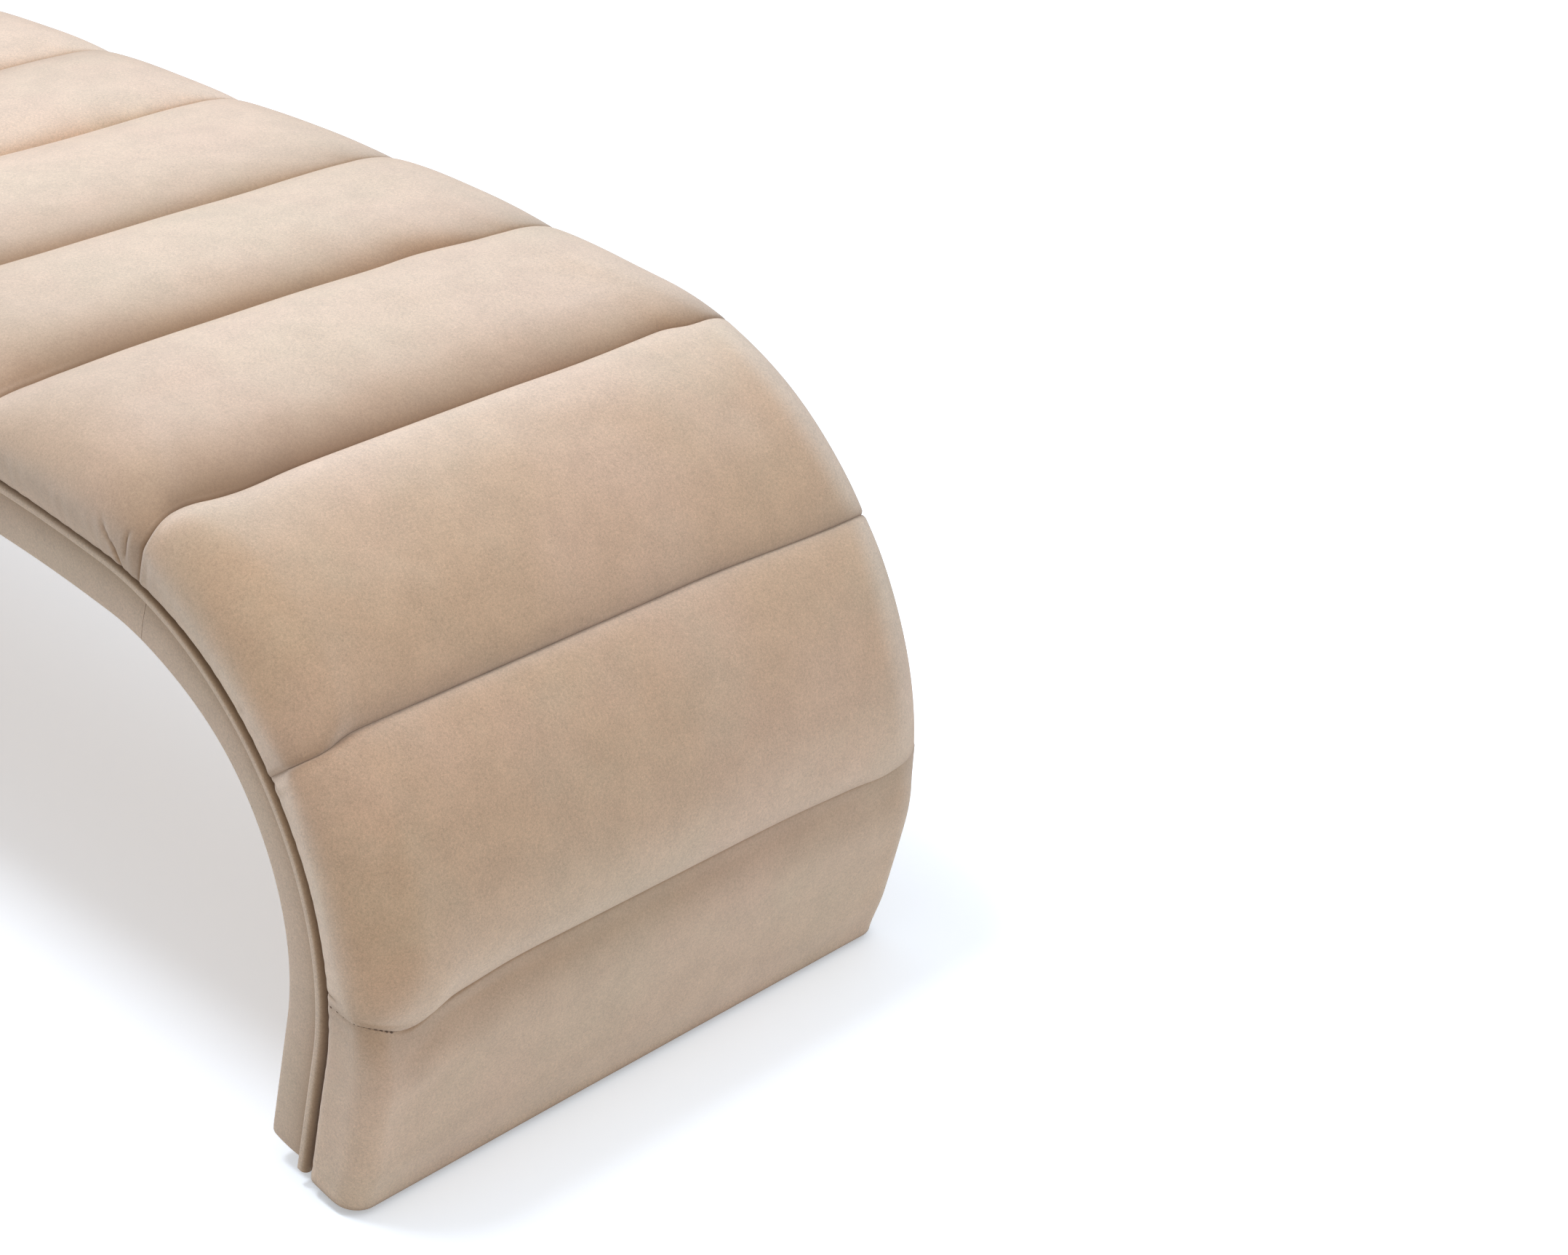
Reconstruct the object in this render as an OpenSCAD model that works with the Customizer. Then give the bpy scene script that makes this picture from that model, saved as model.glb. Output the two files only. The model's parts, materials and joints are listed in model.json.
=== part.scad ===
// Upholstered waterfall bench: one padded arch that runs from the floor over the
// seat and down to the floor again. The seam line, along which the channels of the
// cover are stitched, is the driving curve: every layer lies at its own depth below
// it. X runs along the bench, Y across it, and Z up from the floor.

/* [Overall size] */
// Length over the seam line, where the legs are widest
seam_l = 1481; // [1400:1:1700]
// Height of the seam line above the floor, on the seat
seam_h = 467; // [450:1:540]
// Depth over the side bands
bench_d = 470; // [420:1:560]

/* [Arch profile] */
// Outward lean of the legs where they meet the floor, in degrees
leg_lean = 14.8; // [10:0.1:18]
// Slope of a leg's end, which rises from its outer edge inwards, in degrees
foot_cut = 12; // [0:0.5:16]
// Height of the outer edge of a leg's end above the floor
base_z = 5.2; // [4:0.1:8]
// Radius of the corner between leg and seat, along the seam line
corner_r = 278; // [255:1:284]
// Angle that the corner turns through, in degrees
corner_sweep = 96.6; // [93:0.1:99]
// Radius of the long shoulder that eases the corner into the flat seat
shoulder_r = 2070; // [1500:10:2200]

/* [Padded cover] */
// Number of channels across the bench, from floor to floor
channel_n = 12; // [10:1:13]
// Arc length of the plain panel from the floor to the first seam
foot_panel = 160; // [140:1:175]
// Height of a channel's crown above the seam line
crown_h = 16; // [10:0.5:22]
// Height of the plain foot panel's low crown
foot_crown_h = 4; // [2:0.5:8]
// Thickness of the cover and its wadding under a seam
seam_t = 9.7; // [8:0.1:12]
// How far a channel's side stands proud of the side band
side_proud = 10; // [7:0.5:16]
// How far a seam's side stands proud of the side band
seam_proud = 5; // [3:0.5:7]
// How far in from the side band a seat channel's crown starts to roll over
crown_roll = 70; // [50:1:90]
// How far in from the side band a leg channel's crown starts to roll over
leg_crown_roll = 35; // [25:1:50]
// How far in from the side band a seam on the seat starts to roll over
seam_roll = 30; // [20:1:32]
// How far in from the side band a seam on a leg starts to roll over
leg_seam_roll = 12; // [10:1:20]
// Depth below the seam line at which the cover meets the welt
cover_drop = 51.5; // [47:0.5:56]
// Depth below the seam line at which a side is proudest
belly_drop = 22; // [19:0.5:27]

/* [Foam and cloth] */
// Thickness of the cover and its wadding over a foam strip
cover_t = 7; // [5:0.5:9]
// Distance from a foam strip's edge to the seam beside it
strip_inset = 20; // [12:1:30]
// Distance from a foam strip's end to the side band
strip_end = 42; // [35:1:60]
// Thickness of the backing cloth that the channels are sewn to
backing_t = 1; // [0.8:0.1:2]
// Thickness of the foam sheet over the skin
foam_t = 14; // [12:0.5:18]
// Distance from the foam sheet's edge to the side band
foam_edge = 13; // [12:0.5:20]
// Thickness of the lining under the arch
lining_t = 1.5; // [1:0.1:3]
// Thickness of the cloth under each leg
foot_cloth_t = 1.2; // [0.8:0.1:2]
// Distance that the foot cloth stops short of the leg's edge
foot_cloth_inset = 4; // [2:0.5:8]

/* [Bands and welts] */
// Thickness of a side band, cloth and wadding
band_t = 3; // [2:0.1:5]
// Diameter of the welt cord with its cloth
welt_d = 8.4; // [6:0.1:8.8]
// Arc length from the floor to the join in a side band
band_join = 513; // [380:1:540]
// Width of the side band between the welt and the underside
band_w = 29; // [24:0.5:34]

/* [Timber frame] */
// Thickness of the plywood ribs
rib_t = 18; // [15:1:21]
// Thickness of the bent outer skin
skin_t = 5; // [3:0.5:6]
// Thickness of the bent inner skin
inner_skin_t = 4; // [3:0.5:6]
// Width of a rail along the arch
rail_w = 40; // [30:1:50]
// Thickness of a rail
rail_t = 22; // [18:1:28]
// Arc length from the floor to the leg rail
leg_rail_at = 235; // [200:1:300]
// Distance from the middle of the seat to the outer seat rails
seat_rail_at = 255; // [200:1:300]
// Thickness of the foot board
foot_board_t = 18; // [15:1:25]

/* [Fasteners and glides] */
// Diameter of a frame screw
screw_d = 4.5; // [3.5:0.5:6]
// Length of a frame screw
screw_l = 60; // [45:5:80]
// Diameter of a frame screw's countersunk head
screw_head_d = 9; // [7:0.5:10]
// Distance between the two screws in a rail's end
screw_pitch = 20; // [14:1:26]
// Distance between the two screws in a foot board's end
foot_screw_pitch = 30; // [20:1:34]
// Diameter of a glide
glide_d = 24; // [18:1:30]
// Distance from a glide's centre to the side band
glide_inset = 45; // [35:1:70]
// Diameter of a glide's nail
nail_d = 2.8; // [2:0.1:4]
// Length of a glide's nail under its head
nail_l = 34; // [28:1:35]
// Diameter of the nail's head
nail_head_d = 8; // [6:0.5:10]
// Thickness of the nail's head
nail_head_t = 1.2; // [0.8:0.1:1.6]

/* [Clearances] */
// Gap between a soft piece and its neighbour
soft_gap = 0.3; // [0.1:0.05:0.5]
// Gap around a rail in the centre rib's notch
notch_gap = 0.3; // [0.1:0.05:1]
// Gap round a fastener in its hole, over the diameter
hole_gap = 0.2; // [0.1:0.05:0.5]

/* [Hidden] */
FRAME_NODES = ["front_rib_left", "front_rib_top", "front_rib_right", "centre_rib",
    "rear_rib_left", "rear_rib_top", "rear_rib_right", "foot_board_left", "foot_board_right",
    "leg_rail_left", "leg_rail_right", "shoulder_rail_left", "shoulder_rail_right",
    "seat_rails", "rib_screws",
    "outer_skin_left", "outer_skin_top", "outer_skin_right",
    "inner_skin_left", "inner_skin_top", "inner_skin_right"];
SOFT_NODES = ["foam_sheet", "backing_cloth", "underside_lining",
    "front_band_left", "front_band_top", "front_band_right",
    "rear_band_left", "rear_band_top", "rear_band_right",
    "front_welt", "rear_welt", "foot_cloth_left", "foot_cloth_right", "glides", "glide_nails"];
function channel_name(kind, i) = str("channel_", kind, "_", i < 9 ? "0" : "", i + 1);
$fn = 48;
velvet = "#cbb09a";
velvet_shade = "#bda48f";
timber = "#d9bd8d";
plywood = "#e2cba0";
foam_colour = "#f3ecd6";
cloth_colour = "#4a4542";
steel = "#b9bcc0";
plastic = "#d9d6cf";

// Depths of the layers below the seam line
backing_z = seam_t + soft_gap;
foam_z = backing_z + backing_t;
skin_z = foam_z + foam_t;
rib_z = skin_z + skin_t;
welt_z = cover_drop + soft_gap + welt_d / 2;
band_z = welt_z + welt_d / 2 + soft_gap;
arch_t = band_z + band_w;
lining_z = arch_t - lining_t;
inner_skin_z = lining_z - inner_skin_t;

// Half depths across the bench
band_y = bench_d / 2;
rib_y = band_y - band_t;
foam_y = band_y - foam_edge;
strip_y = band_y - strip_end;
welt_y = rib_y + welt_d / 2 + soft_gap / 2;
rib_gap = rib_y - rib_t;

// How far a nail's head lies up inside its glide, and the height its hole reaches
nail_sink = 0.2;
nail_room = nail_head_t + nail_l + 1.5;

// The seam line on the right half: leg, corner, shoulder and seat
turn_end = leg_lean - corner_sweep;
corner_rise = corner_r * (sin(leg_lean) - sin(turn_end));
shoulder_rise = shoulder_r * (sin(turn_end) + 1);
leg_len = (seam_h - base_z - corner_rise - shoulder_rise) / cos(leg_lean);
corner_len = corner_r * corner_sweep * PI / 180;
shoulder_len = shoulder_r * (90 + turn_end) * PI / 180;
corner_out = corner_r * (1 - cos(turn_end));
shoulder_out = shoulder_r * cos(turn_end);
seat_half = seam_l / 2 - corner_out - shoulder_out;
corner_s = leg_len;
shoulder_s = corner_s + corner_len;
seat_s = shoulder_s + shoulder_len;
half_s = seat_s + seat_half;
full_s = 2 * half_s;
foot_x = seam_l / 2 - corner_r * (1 - cos(leg_lean)) - leg_len * sin(leg_lean);
channel_w = (full_s - 2 * foot_panel) / (channel_n - 2);

// Angle of the seam line from upright at arc length s on the right half
function lean(s) =
    s < corner_s ? leg_lean :
    s < shoulder_s ? leg_lean - (s - corner_s) / corner_r * 180 / PI :
    s < seat_s ? turn_end - (s - shoulder_s) / shoulder_r * 180 / PI : -90;

corner_pt = [foot_x + leg_len * sin(leg_lean), base_z + leg_len * cos(leg_lean)];
shoulder_pt = corner_pt + corner_r * [cos(turn_end) - cos(leg_lean), sin(leg_lean) - sin(turn_end)];

function right_pt(s) =
    s < corner_s ? [foot_x + s * sin(leg_lean), base_z + s * cos(leg_lean)] :
    s < shoulder_s ? corner_pt + corner_r * [cos(lean(s)) - cos(leg_lean), sin(leg_lean) - sin(lean(s))] :
    s < seat_s ? shoulder_pt + shoulder_r * [cos(lean(s)) - cos(turn_end), sin(turn_end) - sin(lean(s))] :
    [half_s - s, seam_h];

// Point on a leg's sloping end, or up from it, h outside the seam line
function foot_pt(up, h) =
    right_pt(up + h * tan(leg_lean - foot_cut)) + h * [cos(leg_lean), -sin(leg_lean)];

// Point at arc length s, h outside the seam line. The ends lie on the legs' sloping
// ends, or up from them.
function right_off(s, h, up) =
    s <= 0 ? foot_pt(up, h) : right_pt(s) + h * [cos(lean(s)), -sin(lean(s))];
function mirrored(p) = [-p[0], p[1]];
function off(s, h, up = 0) =
    s <= half_s ? right_off(s, h, up) : mirrored(right_off(full_s - s, h, up));

// Stations that split the arcs into short chords
corner_steps = 24;
shoulder_steps = 6;
right_stations = concat(
    [0],
    [for (i = [0:corner_steps]) corner_s + corner_len * i / corner_steps],
    [for (i = [1:shoulder_steps]) shoulder_s + shoulder_len * i / shoulder_steps]);
count_r = len(right_stations);
all_stations = concat(right_stations, [for (i = [count_r - 1:-1:0]) full_s - right_stations[i]]);
tiny = 0.01;
function stations(s1, s2) =
    concat([s1], [for (s = all_stations) if (s > s1 + tiny && s < s2 - tiny) s], [s2]);

// Outline of a layer between two depths, from arc length s1 to s2
function layer_outline(s1, s2, top, bottom, up) =
    let (list = stations(s1, s2), n = len(list))
    concat([for (s = list) off(s, -top, up)], [for (i = [n - 1:-1:0]) off(list[i], -bottom, up)]);

module across(y1, y2) {
    translate([0, y2, 0]) rotate([90, 0, 0]) linear_extrude(y2 - y1) children();
}

module layer(s1, s2, top, bottom, y1, y2, up = 0) {
    across(y1, y2) polygon(layer_outline(s1, s2, top, bottom, up));
}

// Places its children at arc length s and depth d, with local x along the seam line
// and local z out of the arch
module on_arch(s, d) {
    side = s <= half_s ? 1 : -1;
    a = lean(s <= half_s ? s : full_s - s);
    p = off(s, -d);
    translate([p[0], 0, p[1]]) rotate([0, side * (90 + a), 0]) children();
}

// Rails

// Arc lengths at which the rails lie, from the right foot to the left
rail_spots = [leg_rail_at, shoulder_s, half_s - seat_rail_at, half_s,
    half_s + seat_rail_at, full_s - shoulder_s, full_s - leg_rail_at];

// A flat rail under a curved skin touches it along its edges, so its middle lies deeper
function rail_depth(s) =
    let (q = s <= half_s ? s : full_s - s, r = q < shoulder_s ? corner_r : shoulder_r)
    rib_z + pow(rail_w / 2, 2) / (2 * (r - rib_z)) + soft_gap;

module rail_bar(s) {
    on_arch(s, rail_depth(s) + rail_t / 2) cube([rail_w, 2 * rib_gap, rail_t], center = true);
}

module rail_notch(s) {
    on_arch(s, rail_depth(s) - skin_t)
        translate([-rail_w / 2 - notch_gap, -rib_t, -rail_t - skin_t - notch_gap])
            cube([rail_w + 2 * notch_gap, 2 * rib_t, rail_t + skin_t + skin_t + notch_gap]);
}

module at_rail_screws(s) {
    for (k = [-1, 1])
        on_arch(s, rail_depth(s) + rail_t / 2) translate([k * screw_pitch / 2, 0, 0]) children();
}

board_d = (rib_z + inner_skin_z) / 2;
foot_mid = foot_pt(foot_board_t / 2, -board_d)[0];

module at_foot_screws() {
    for (side = [-1, 1], k = [-1, 1])
        let (p = foot_pt(foot_board_t / 2, k * foot_screw_pitch / 2 - board_d))
            translate([side * p[0], 0, p[1]]) children();
}

// Half section of a countersunk screw, drawn from its head down; grown, it is the hole
function screw_section(gap, out) =
    let (head_h = (screw_head_d - screw_d) / 2, r = (screw_d + gap) / 2, rh = (screw_head_d + gap) / 2)
    concat(out > 0 ? [[0, -out], [rh, -out]] : [[0, 0]],
        [[rh, 0], [r, head_h], [r, screw_l + out], [0, screw_l + out]]);

// One screw through each outer rib, head out
module screw_pair(gap = 0, out = 0) {
    for (side = [-1, 1])
        translate([0, side * rib_y, 0]) rotate([side * 90, 0, 0])
            rotate_extrude() polygon(screw_section(gap, out));
}

module all_screw_pairs(gap = 0, out = 0) {
    for (s = rail_spots) at_rail_screws(s) screw_pair(gap, out);
    at_foot_screws() screw_pair(gap, out);
}

module rail(s) {
    color(timber) difference() {
        rail_bar(s);
        at_rail_screws(s) screw_pair(hole_gap, 1);
    }
}

// An outer rib is three lengths of plywood, butted at the shoulder rails, where each
// length takes one of the rail's two screws
module outer_rib(side, s1, s2) {
    y = side > 0 ? rib_gap : -rib_y;
    color(plywood) difference() {
        layer(s1, s2, rib_z, inner_skin_z, y, y + rib_t);
        all_screw_pairs(hole_gap, 1);
    }
}

module front_rib_right() { outer_rib(-1, 0, shoulder_s); }
module front_rib_top() { outer_rib(-1, shoulder_s, full_s - shoulder_s); }
module front_rib_left() { outer_rib(-1, full_s - shoulder_s, full_s); }
module rear_rib_right() { outer_rib(1, 0, shoulder_s); }
module rear_rib_top() { outer_rib(1, shoulder_s, full_s - shoulder_s); }
module rear_rib_left() { outer_rib(1, full_s - shoulder_s, full_s); }

module centre_rib() {
    color(plywood) difference() {
        layer(0, full_s, rib_z, inner_skin_z, -rib_t / 2, rib_t / 2, foot_board_t);
        for (s = rail_spots) rail_notch(s);
    }
}

module rib_screws() { color(steel) all_screw_pairs(); }

// A slab along a leg's sloping end, between two depths and two heights up from the end
module foot_slab(side, d1, d2, low, high, y) {
    mirror([side > 0 ? 0 : 1, 0, 0]) across(-y, y)
        polygon([foot_pt(low, -d1), foot_pt(high, -d1), foot_pt(high, -d2), foot_pt(low, -d2)]);
}

// Foot boards close the legs between the ribs and hold the glides' nails
module foot_board(side) {
    color(timber) difference() {
        foot_slab(side, rib_z, inner_skin_z, 0, foot_board_t, rib_gap);
        at_foot_screws() screw_pair(hole_gap, 1);
        at_glides(side) cylinder(d = nail_d + hole_gap, h = nail_room);
    }
}

module at_glides(side) {
    for (y = [-1, 1]) translate([side * foot_mid, y * (band_y - glide_inset), 0]) children();
}

module glide_nail(gap = 0) {
    cylinder(d = nail_head_d + 2 * gap, h = nail_head_t + gap);
    cylinder(d = nail_d + gap, h = nail_head_t + nail_l);
}

// A glide's top is cut to the slope of the leg's end
module glides() {
    color(plastic) for (side = [-1, 1]) difference() {
        at_glides(side) cylinder(d = glide_d, h = nail_room);
        foot_slab(side, 0, arch_t, -foot_cloth_t, nail_room, band_y);
        at_glides(side) translate([0, 0, -tiny]) glide_nail(hole_gap);
    }
}

module glide_nails() {
    color(steel) for (side = [-1, 1]) at_glides(side) translate([0, 0, nail_sink]) glide_nail();
}

module foot_cloth(side) {
    color(cloth_colour) difference() {
        foot_slab(side, foot_cloth_inset, arch_t - foot_cloth_inset, -foot_cloth_t, 0, band_y - foot_cloth_inset);
        at_glides(side) cylinder(d = nail_d + hole_gap, h = nail_room);
    }
}

// Skins, foam and cloth, each a layer of the arch

module outer_skin(s1, s2) { color(plywood) layer(s1, s2, skin_z, rib_z, -rib_y, rib_y); }
module outer_skin_right() { outer_skin(0, shoulder_s); }
module outer_skin_top() { outer_skin(shoulder_s, full_s - shoulder_s); }
module outer_skin_left() { outer_skin(full_s - shoulder_s, full_s); }

module inner_skin(s1, s2) { color(plywood) layer(s1, s2, inner_skin_z, lining_z, -rib_y, rib_y); }
module inner_skin_right() { inner_skin(0, shoulder_s); }
module inner_skin_top() { inner_skin(shoulder_s, full_s - shoulder_s); }
module inner_skin_left() { inner_skin(full_s - shoulder_s, full_s); }

module foam_sheet() { color(foam_colour) layer(0, full_s, foam_z, skin_z, -foam_y, foam_y); }
module backing_cloth() { color(cloth_colour) layer(0, full_s, backing_z, foam_z, -foam_y, foam_y); }
module underside_lining() { color(velvet_shade) layer(0, full_s, lining_z, arch_t, -rib_y, rib_y); }

// Side bands: the smooth strip between the welt and the underside, in three lengths
module side_band(side, s1, s2) {
    y = side > 0 ? rib_y : -band_y;
    color(velvet_shade) layer(s1, s2, band_z, arch_t, y, y + band_t);
}
module front_band_right() { side_band(-1, 0, band_join); }
module front_band_top() { side_band(-1, band_join, full_s - band_join); }
module front_band_left() { side_band(-1, full_s - band_join, full_s); }
module rear_band_right() { side_band(1, 0, band_join); }
module rear_band_top() { side_band(1, band_join, full_s - band_join); }
module rear_band_left() { side_band(1, full_s - band_join, full_s); }

// Channels of the cover

// Shares of a channel's width at which its section is set out
channel_steps = [0, 0.03, 0.08, 0.16, 0.3, 0.5, 0.7, 0.84, 0.92, 0.97, 1];
// Angles of the points round the roll of a channel's end, and under it to the welt
roll_angles = [90, 72, 54, 36, 18, 0];
tuck_angles = [90, 60, 30];
// The lower this power, the fuller the channels
crown_power = 0.55;
// How far the cover's edge at the welt stands proud of the side band
lip = 0.4;
// Arc lengths from the floor between which the tight rolls of a leg open into the seat's
leg_end = 500;
seat_start = 720;

function seam_at(i) = i == 0 ? 0 : i == channel_n ? full_s : foot_panel + (i - 1) * channel_w;
function swell(u) = pow(max(0, sin(180 * u)), crown_power);
function mix(a, b, t) = a + (b - a) * t;
function is_foot(i) = i == 0 || i == channel_n - 1;
function seat_share(s) = max(0, min(1, (s - leg_end) / (seat_start - leg_end)));

// Crown height, side reach and roll of channel i at u of its width
function crown_at(i, u) = (is_foot(i) ? foot_crown_h : crown_h) * swell(u);
function reach_at(i, u) = band_y + (is_foot(i) ? seam_proud : mix(seam_proud, side_proud, swell(u)));
function roll_at(i, u) =
    let (s = mix(seam_at(i), seam_at(i + 1), u), t = seat_share(min(s, full_s - s)))
    band_y - mix(mix(leg_seam_roll, seam_roll, t),
        is_foot(i) ? leg_seam_roll : mix(leg_crown_roll, crown_roll, t), swell(u));

// Half of the cover's section: from its edge at the welt, up the side and over the roll
function half_section(i, u) =
    let (top = crown_at(i, u), reach = reach_at(i, u), roll = roll_at(i, u), edge = band_y + lip)
    concat(
        [for (a = tuck_angles)
            [edge + (reach - edge) * cos(a), -belly_drop - (cover_drop - belly_drop) * sin(a)]],
        [for (a = roll_angles)
            [roll + (reach - roll) * sin(a), -belly_drop + (top + belly_drop) * cos(a)]]);

// Underside of the cover on one half: over the backing, down past the foam, along the
// skin's edge and down the rib's side
seat_section = [[foam_y + soft_gap, -seam_t], [foam_y + soft_gap, soft_gap - skin_z],
    [rib_y + soft_gap, soft_gap - skin_z], [rib_y + soft_gap, -cover_drop]];
function flipped(list) = [for (i = [len(list) - 1:-1:0]) [-list[i][0], list[i][1]]];
function section(i, u) =
    let (half = half_section(i, u))
    concat(half, [[0, crown_at(i, u)]], flipped(half),
        flipped(seat_section), seat_section);

// The closed end of a cover, as triangles over one section's points. The crown is the
// section's middle point, and the seat's four corners end the ring. Each half of the
// end is two fans, from the step's lower corner and from the seat's top corner.
crown_k = len(tuck_angles) + len(roll_angles);
ring_n = 2 * crown_k + 1 + 2 * len(seat_section);
edge_k = ring_n - 1;
low_k = ring_n - 2;
step_k = ring_n - 3;
top_k = ring_n - 4;
split_k = len(tuck_angles) + 3;
half_end = concat([[edge_k, 0, 1], [edge_k, 1, low_k]],
    [for (k = [1:split_k - 1]) [low_k, k, k + 1]],
    [[low_k, split_k, top_k], [low_k, top_k, step_k]],
    [for (k = [split_k:crown_k - 1]) [top_k, k, k + 1]]);
function other_side(k) = k <= 2 * crown_k ? 2 * crown_k - k : 2 * crown_k + ring_n - k;
end_faces = concat(half_end, [for (t = half_end) [other_side(t[0]), other_side(t[2]), other_side(t[1])]],
    [[top_k, crown_k, other_side(top_k)]]);

module channel_skin(i) {
    s1 = seam_at(i);
    s2 = seam_at(i + 1);
    n = len(channel_steps);
    points = [for (u = channel_steps, p = section(i, u))
        let (q = off(mix(s1, s2, u), p[1])) [q[0], p[0], q[1]]];
    walls = [for (k = [0:n - 2], j = [0:ring_n - 1])
        let (a = k * ring_n + j, b = k * ring_n + (j + 1) % ring_n)
        each [[a, b, a + ring_n], [b, b + ring_n, a + ring_n]]];
    last = (n - 1) * ring_n;
    ends = concat([for (t = end_faces) [t[0], t[2], t[1]]],
        [for (t = end_faces) [t[0] + last, t[1] + last, t[2] + last]]);
    polyhedron(points, concat(walls, ends), convexity = 6);
}

// Foam strip in a channel, a constant thickness of cover below the crown
strip_steps = 8;
function strip_outline(i, sink) =
    let (s1 = seam_at(i), s2 = seam_at(i + 1), w = s2 - s1, u1 = strip_inset / w,
         list = [for (k = [0:strip_steps]) mix(u1, 1 - u1, k / strip_steps)])
    concat([for (u = list) off(s1 + u * w, crown_at(i, u) - cover_t)],
        [for (k = [strip_steps:-1:0]) off(s1 + list[k] * w, -seam_t - sink)]);

module channel_foam(i) { color(foam_colour) across(-strip_y, strip_y) polygon(strip_outline(i, 0)); }

module channel_cover(i) {
    color(velvet) difference() {
        channel_skin(i);
        across(-strip_y, strip_y) polygon(strip_outline(i, 1));
    }
}

// Welts: one cord round each side of the arch, between the cover and the side band
welt_sides = 10;

module welt(side) {
    n = len(all_stations);
    points = [for (s = all_stations, k = [0:welt_sides - 1])
        let (a = 360 * k / welt_sides, q = off(s, welt_d / 2 * cos(a) - welt_z))
        [q[0], side * welt_y + welt_d / 2 * sin(a), q[1]]];
    walls = [for (i = [0:n - 2], k = [0:welt_sides - 1])
        let (a = i * welt_sides + k, b = i * welt_sides + (k + 1) % welt_sides)
        each [[a, b, a + welt_sides], [b, b + welt_sides, a + welt_sides]]];
    last = (n - 1) * welt_sides;
    ends = [for (k = [1:welt_sides - 2]) each [[0, k + 1, k], [last, last + k, last + k + 1]]];
    color(velvet_shade) polyhedron(points, concat(walls, ends), convexity = 4);
}
module front_welt() { welt(-1); }
module rear_welt() { welt(1); }

module foot_board_left() { foot_board(-1); }
module foot_board_right() { foot_board(1); }
module leg_rail_right() { rail(rail_spots[0]); }
module shoulder_rail_right() { rail(rail_spots[1]); }
module seat_rails() { for (k = [2:4]) rail(rail_spots[k]); }
module shoulder_rail_left() { rail(rail_spots[5]); }
module leg_rail_left() { rail(rail_spots[6]); }
module foot_cloth_left() { foot_cloth(-1); }
module foot_cloth_right() { foot_cloth(1); }

front_rib_left();
front_rib_top();
front_rib_right();
centre_rib();
rear_rib_left();
rear_rib_top();
rear_rib_right();
foot_board_left();
foot_board_right();
leg_rail_left();
leg_rail_right();
shoulder_rail_left();
shoulder_rail_right();
seat_rails();
rib_screws();
outer_skin_left();
outer_skin_top();
outer_skin_right();
inner_skin_left();
inner_skin_top();
inner_skin_right();
foam_sheet();
backing_cloth();
underside_lining();
front_band_left();
front_band_top();
front_band_right();
rear_band_left();
rear_band_top();
rear_band_right();
front_welt();
rear_welt();
foot_cloth_left();
foot_cloth_right();
glides();
glide_nails();
for (i = [0:channel_n - 1])
    channel_foam(i);
for (i = [0:channel_n - 1])
    channel_cover(i);
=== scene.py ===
import json
import math

import bmesh
import bpy
from mathutils import Matrix, Vector, noise


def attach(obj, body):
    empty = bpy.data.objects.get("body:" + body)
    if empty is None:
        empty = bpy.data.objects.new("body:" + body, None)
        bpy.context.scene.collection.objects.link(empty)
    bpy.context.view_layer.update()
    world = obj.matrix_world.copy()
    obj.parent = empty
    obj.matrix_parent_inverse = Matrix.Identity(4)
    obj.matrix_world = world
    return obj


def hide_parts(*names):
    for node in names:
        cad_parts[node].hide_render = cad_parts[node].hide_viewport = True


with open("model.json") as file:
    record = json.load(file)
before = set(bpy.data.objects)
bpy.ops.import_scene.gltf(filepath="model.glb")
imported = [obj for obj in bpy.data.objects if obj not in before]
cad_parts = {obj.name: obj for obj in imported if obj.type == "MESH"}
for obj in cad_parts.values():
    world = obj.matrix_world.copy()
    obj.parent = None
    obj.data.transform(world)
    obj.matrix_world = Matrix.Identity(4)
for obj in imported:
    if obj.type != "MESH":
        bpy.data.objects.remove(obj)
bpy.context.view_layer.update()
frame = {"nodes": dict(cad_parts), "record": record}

# The seam line of the arch, the curve that every layer follows, in metres
BASE = 0.0052
SEAM_TOP = 0.467
HALF_LENGTH = 0.7405
LEAN = math.radians(14.8)
FOOT_CUT = math.radians(12)
CORNER_TURN = math.radians(96.6)
CORNER_R = 0.278
SHOULDER_R = 2.07
CORNER_END = LEAN - CORNER_TURN
LEG_LEN = (SEAM_TOP - BASE - CORNER_R * (math.sin(LEAN) - math.sin(CORNER_END))
           - SHOULDER_R * (math.sin(CORNER_END) + 1)) / math.cos(LEAN)
SHOULDER_S = LEG_LEN + CORNER_R * CORNER_TURN
SEAT_S = SHOULDER_S + SHOULDER_R * (math.pi / 2 + CORNER_END)
FOOT_X = HALF_LENGTH - CORNER_R * (1 - math.cos(LEAN)) - LEG_LEN * math.sin(LEAN)
CORNER_C = (FOOT_X + LEG_LEN * math.sin(LEAN) - CORNER_R * math.cos(LEAN),
            BASE + LEG_LEN * math.cos(LEAN) + CORNER_R * math.sin(LEAN))
SHOULDER_C = (CORNER_C[0] - (SHOULDER_R - CORNER_R) * math.cos(CORNER_END),
              CORNER_C[1] + (SHOULDER_R - CORNER_R) * math.sin(CORNER_END))
HALF_S = SEAT_S + SHOULDER_C[0]
FULL_S = 2 * HALF_S

# The padded cover: its first and last channels are the foot panels of the legs, and its crowns
# and valleys are heights over and depths below the seam line
CHANNELS = 12
FOOT_PANEL = 0.16
CHANNEL_W = (FULL_S - 2 * FOOT_PANEL) / (CHANNELS - 2)
BAND_Y = 0.235
CROWN = 0.016
VALLEY = 0.008
SEAT_DEEPER = 1.35
FOOT_CROWN = 0.004
DROP = 0.052
CLOTH = 0.0025

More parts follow.
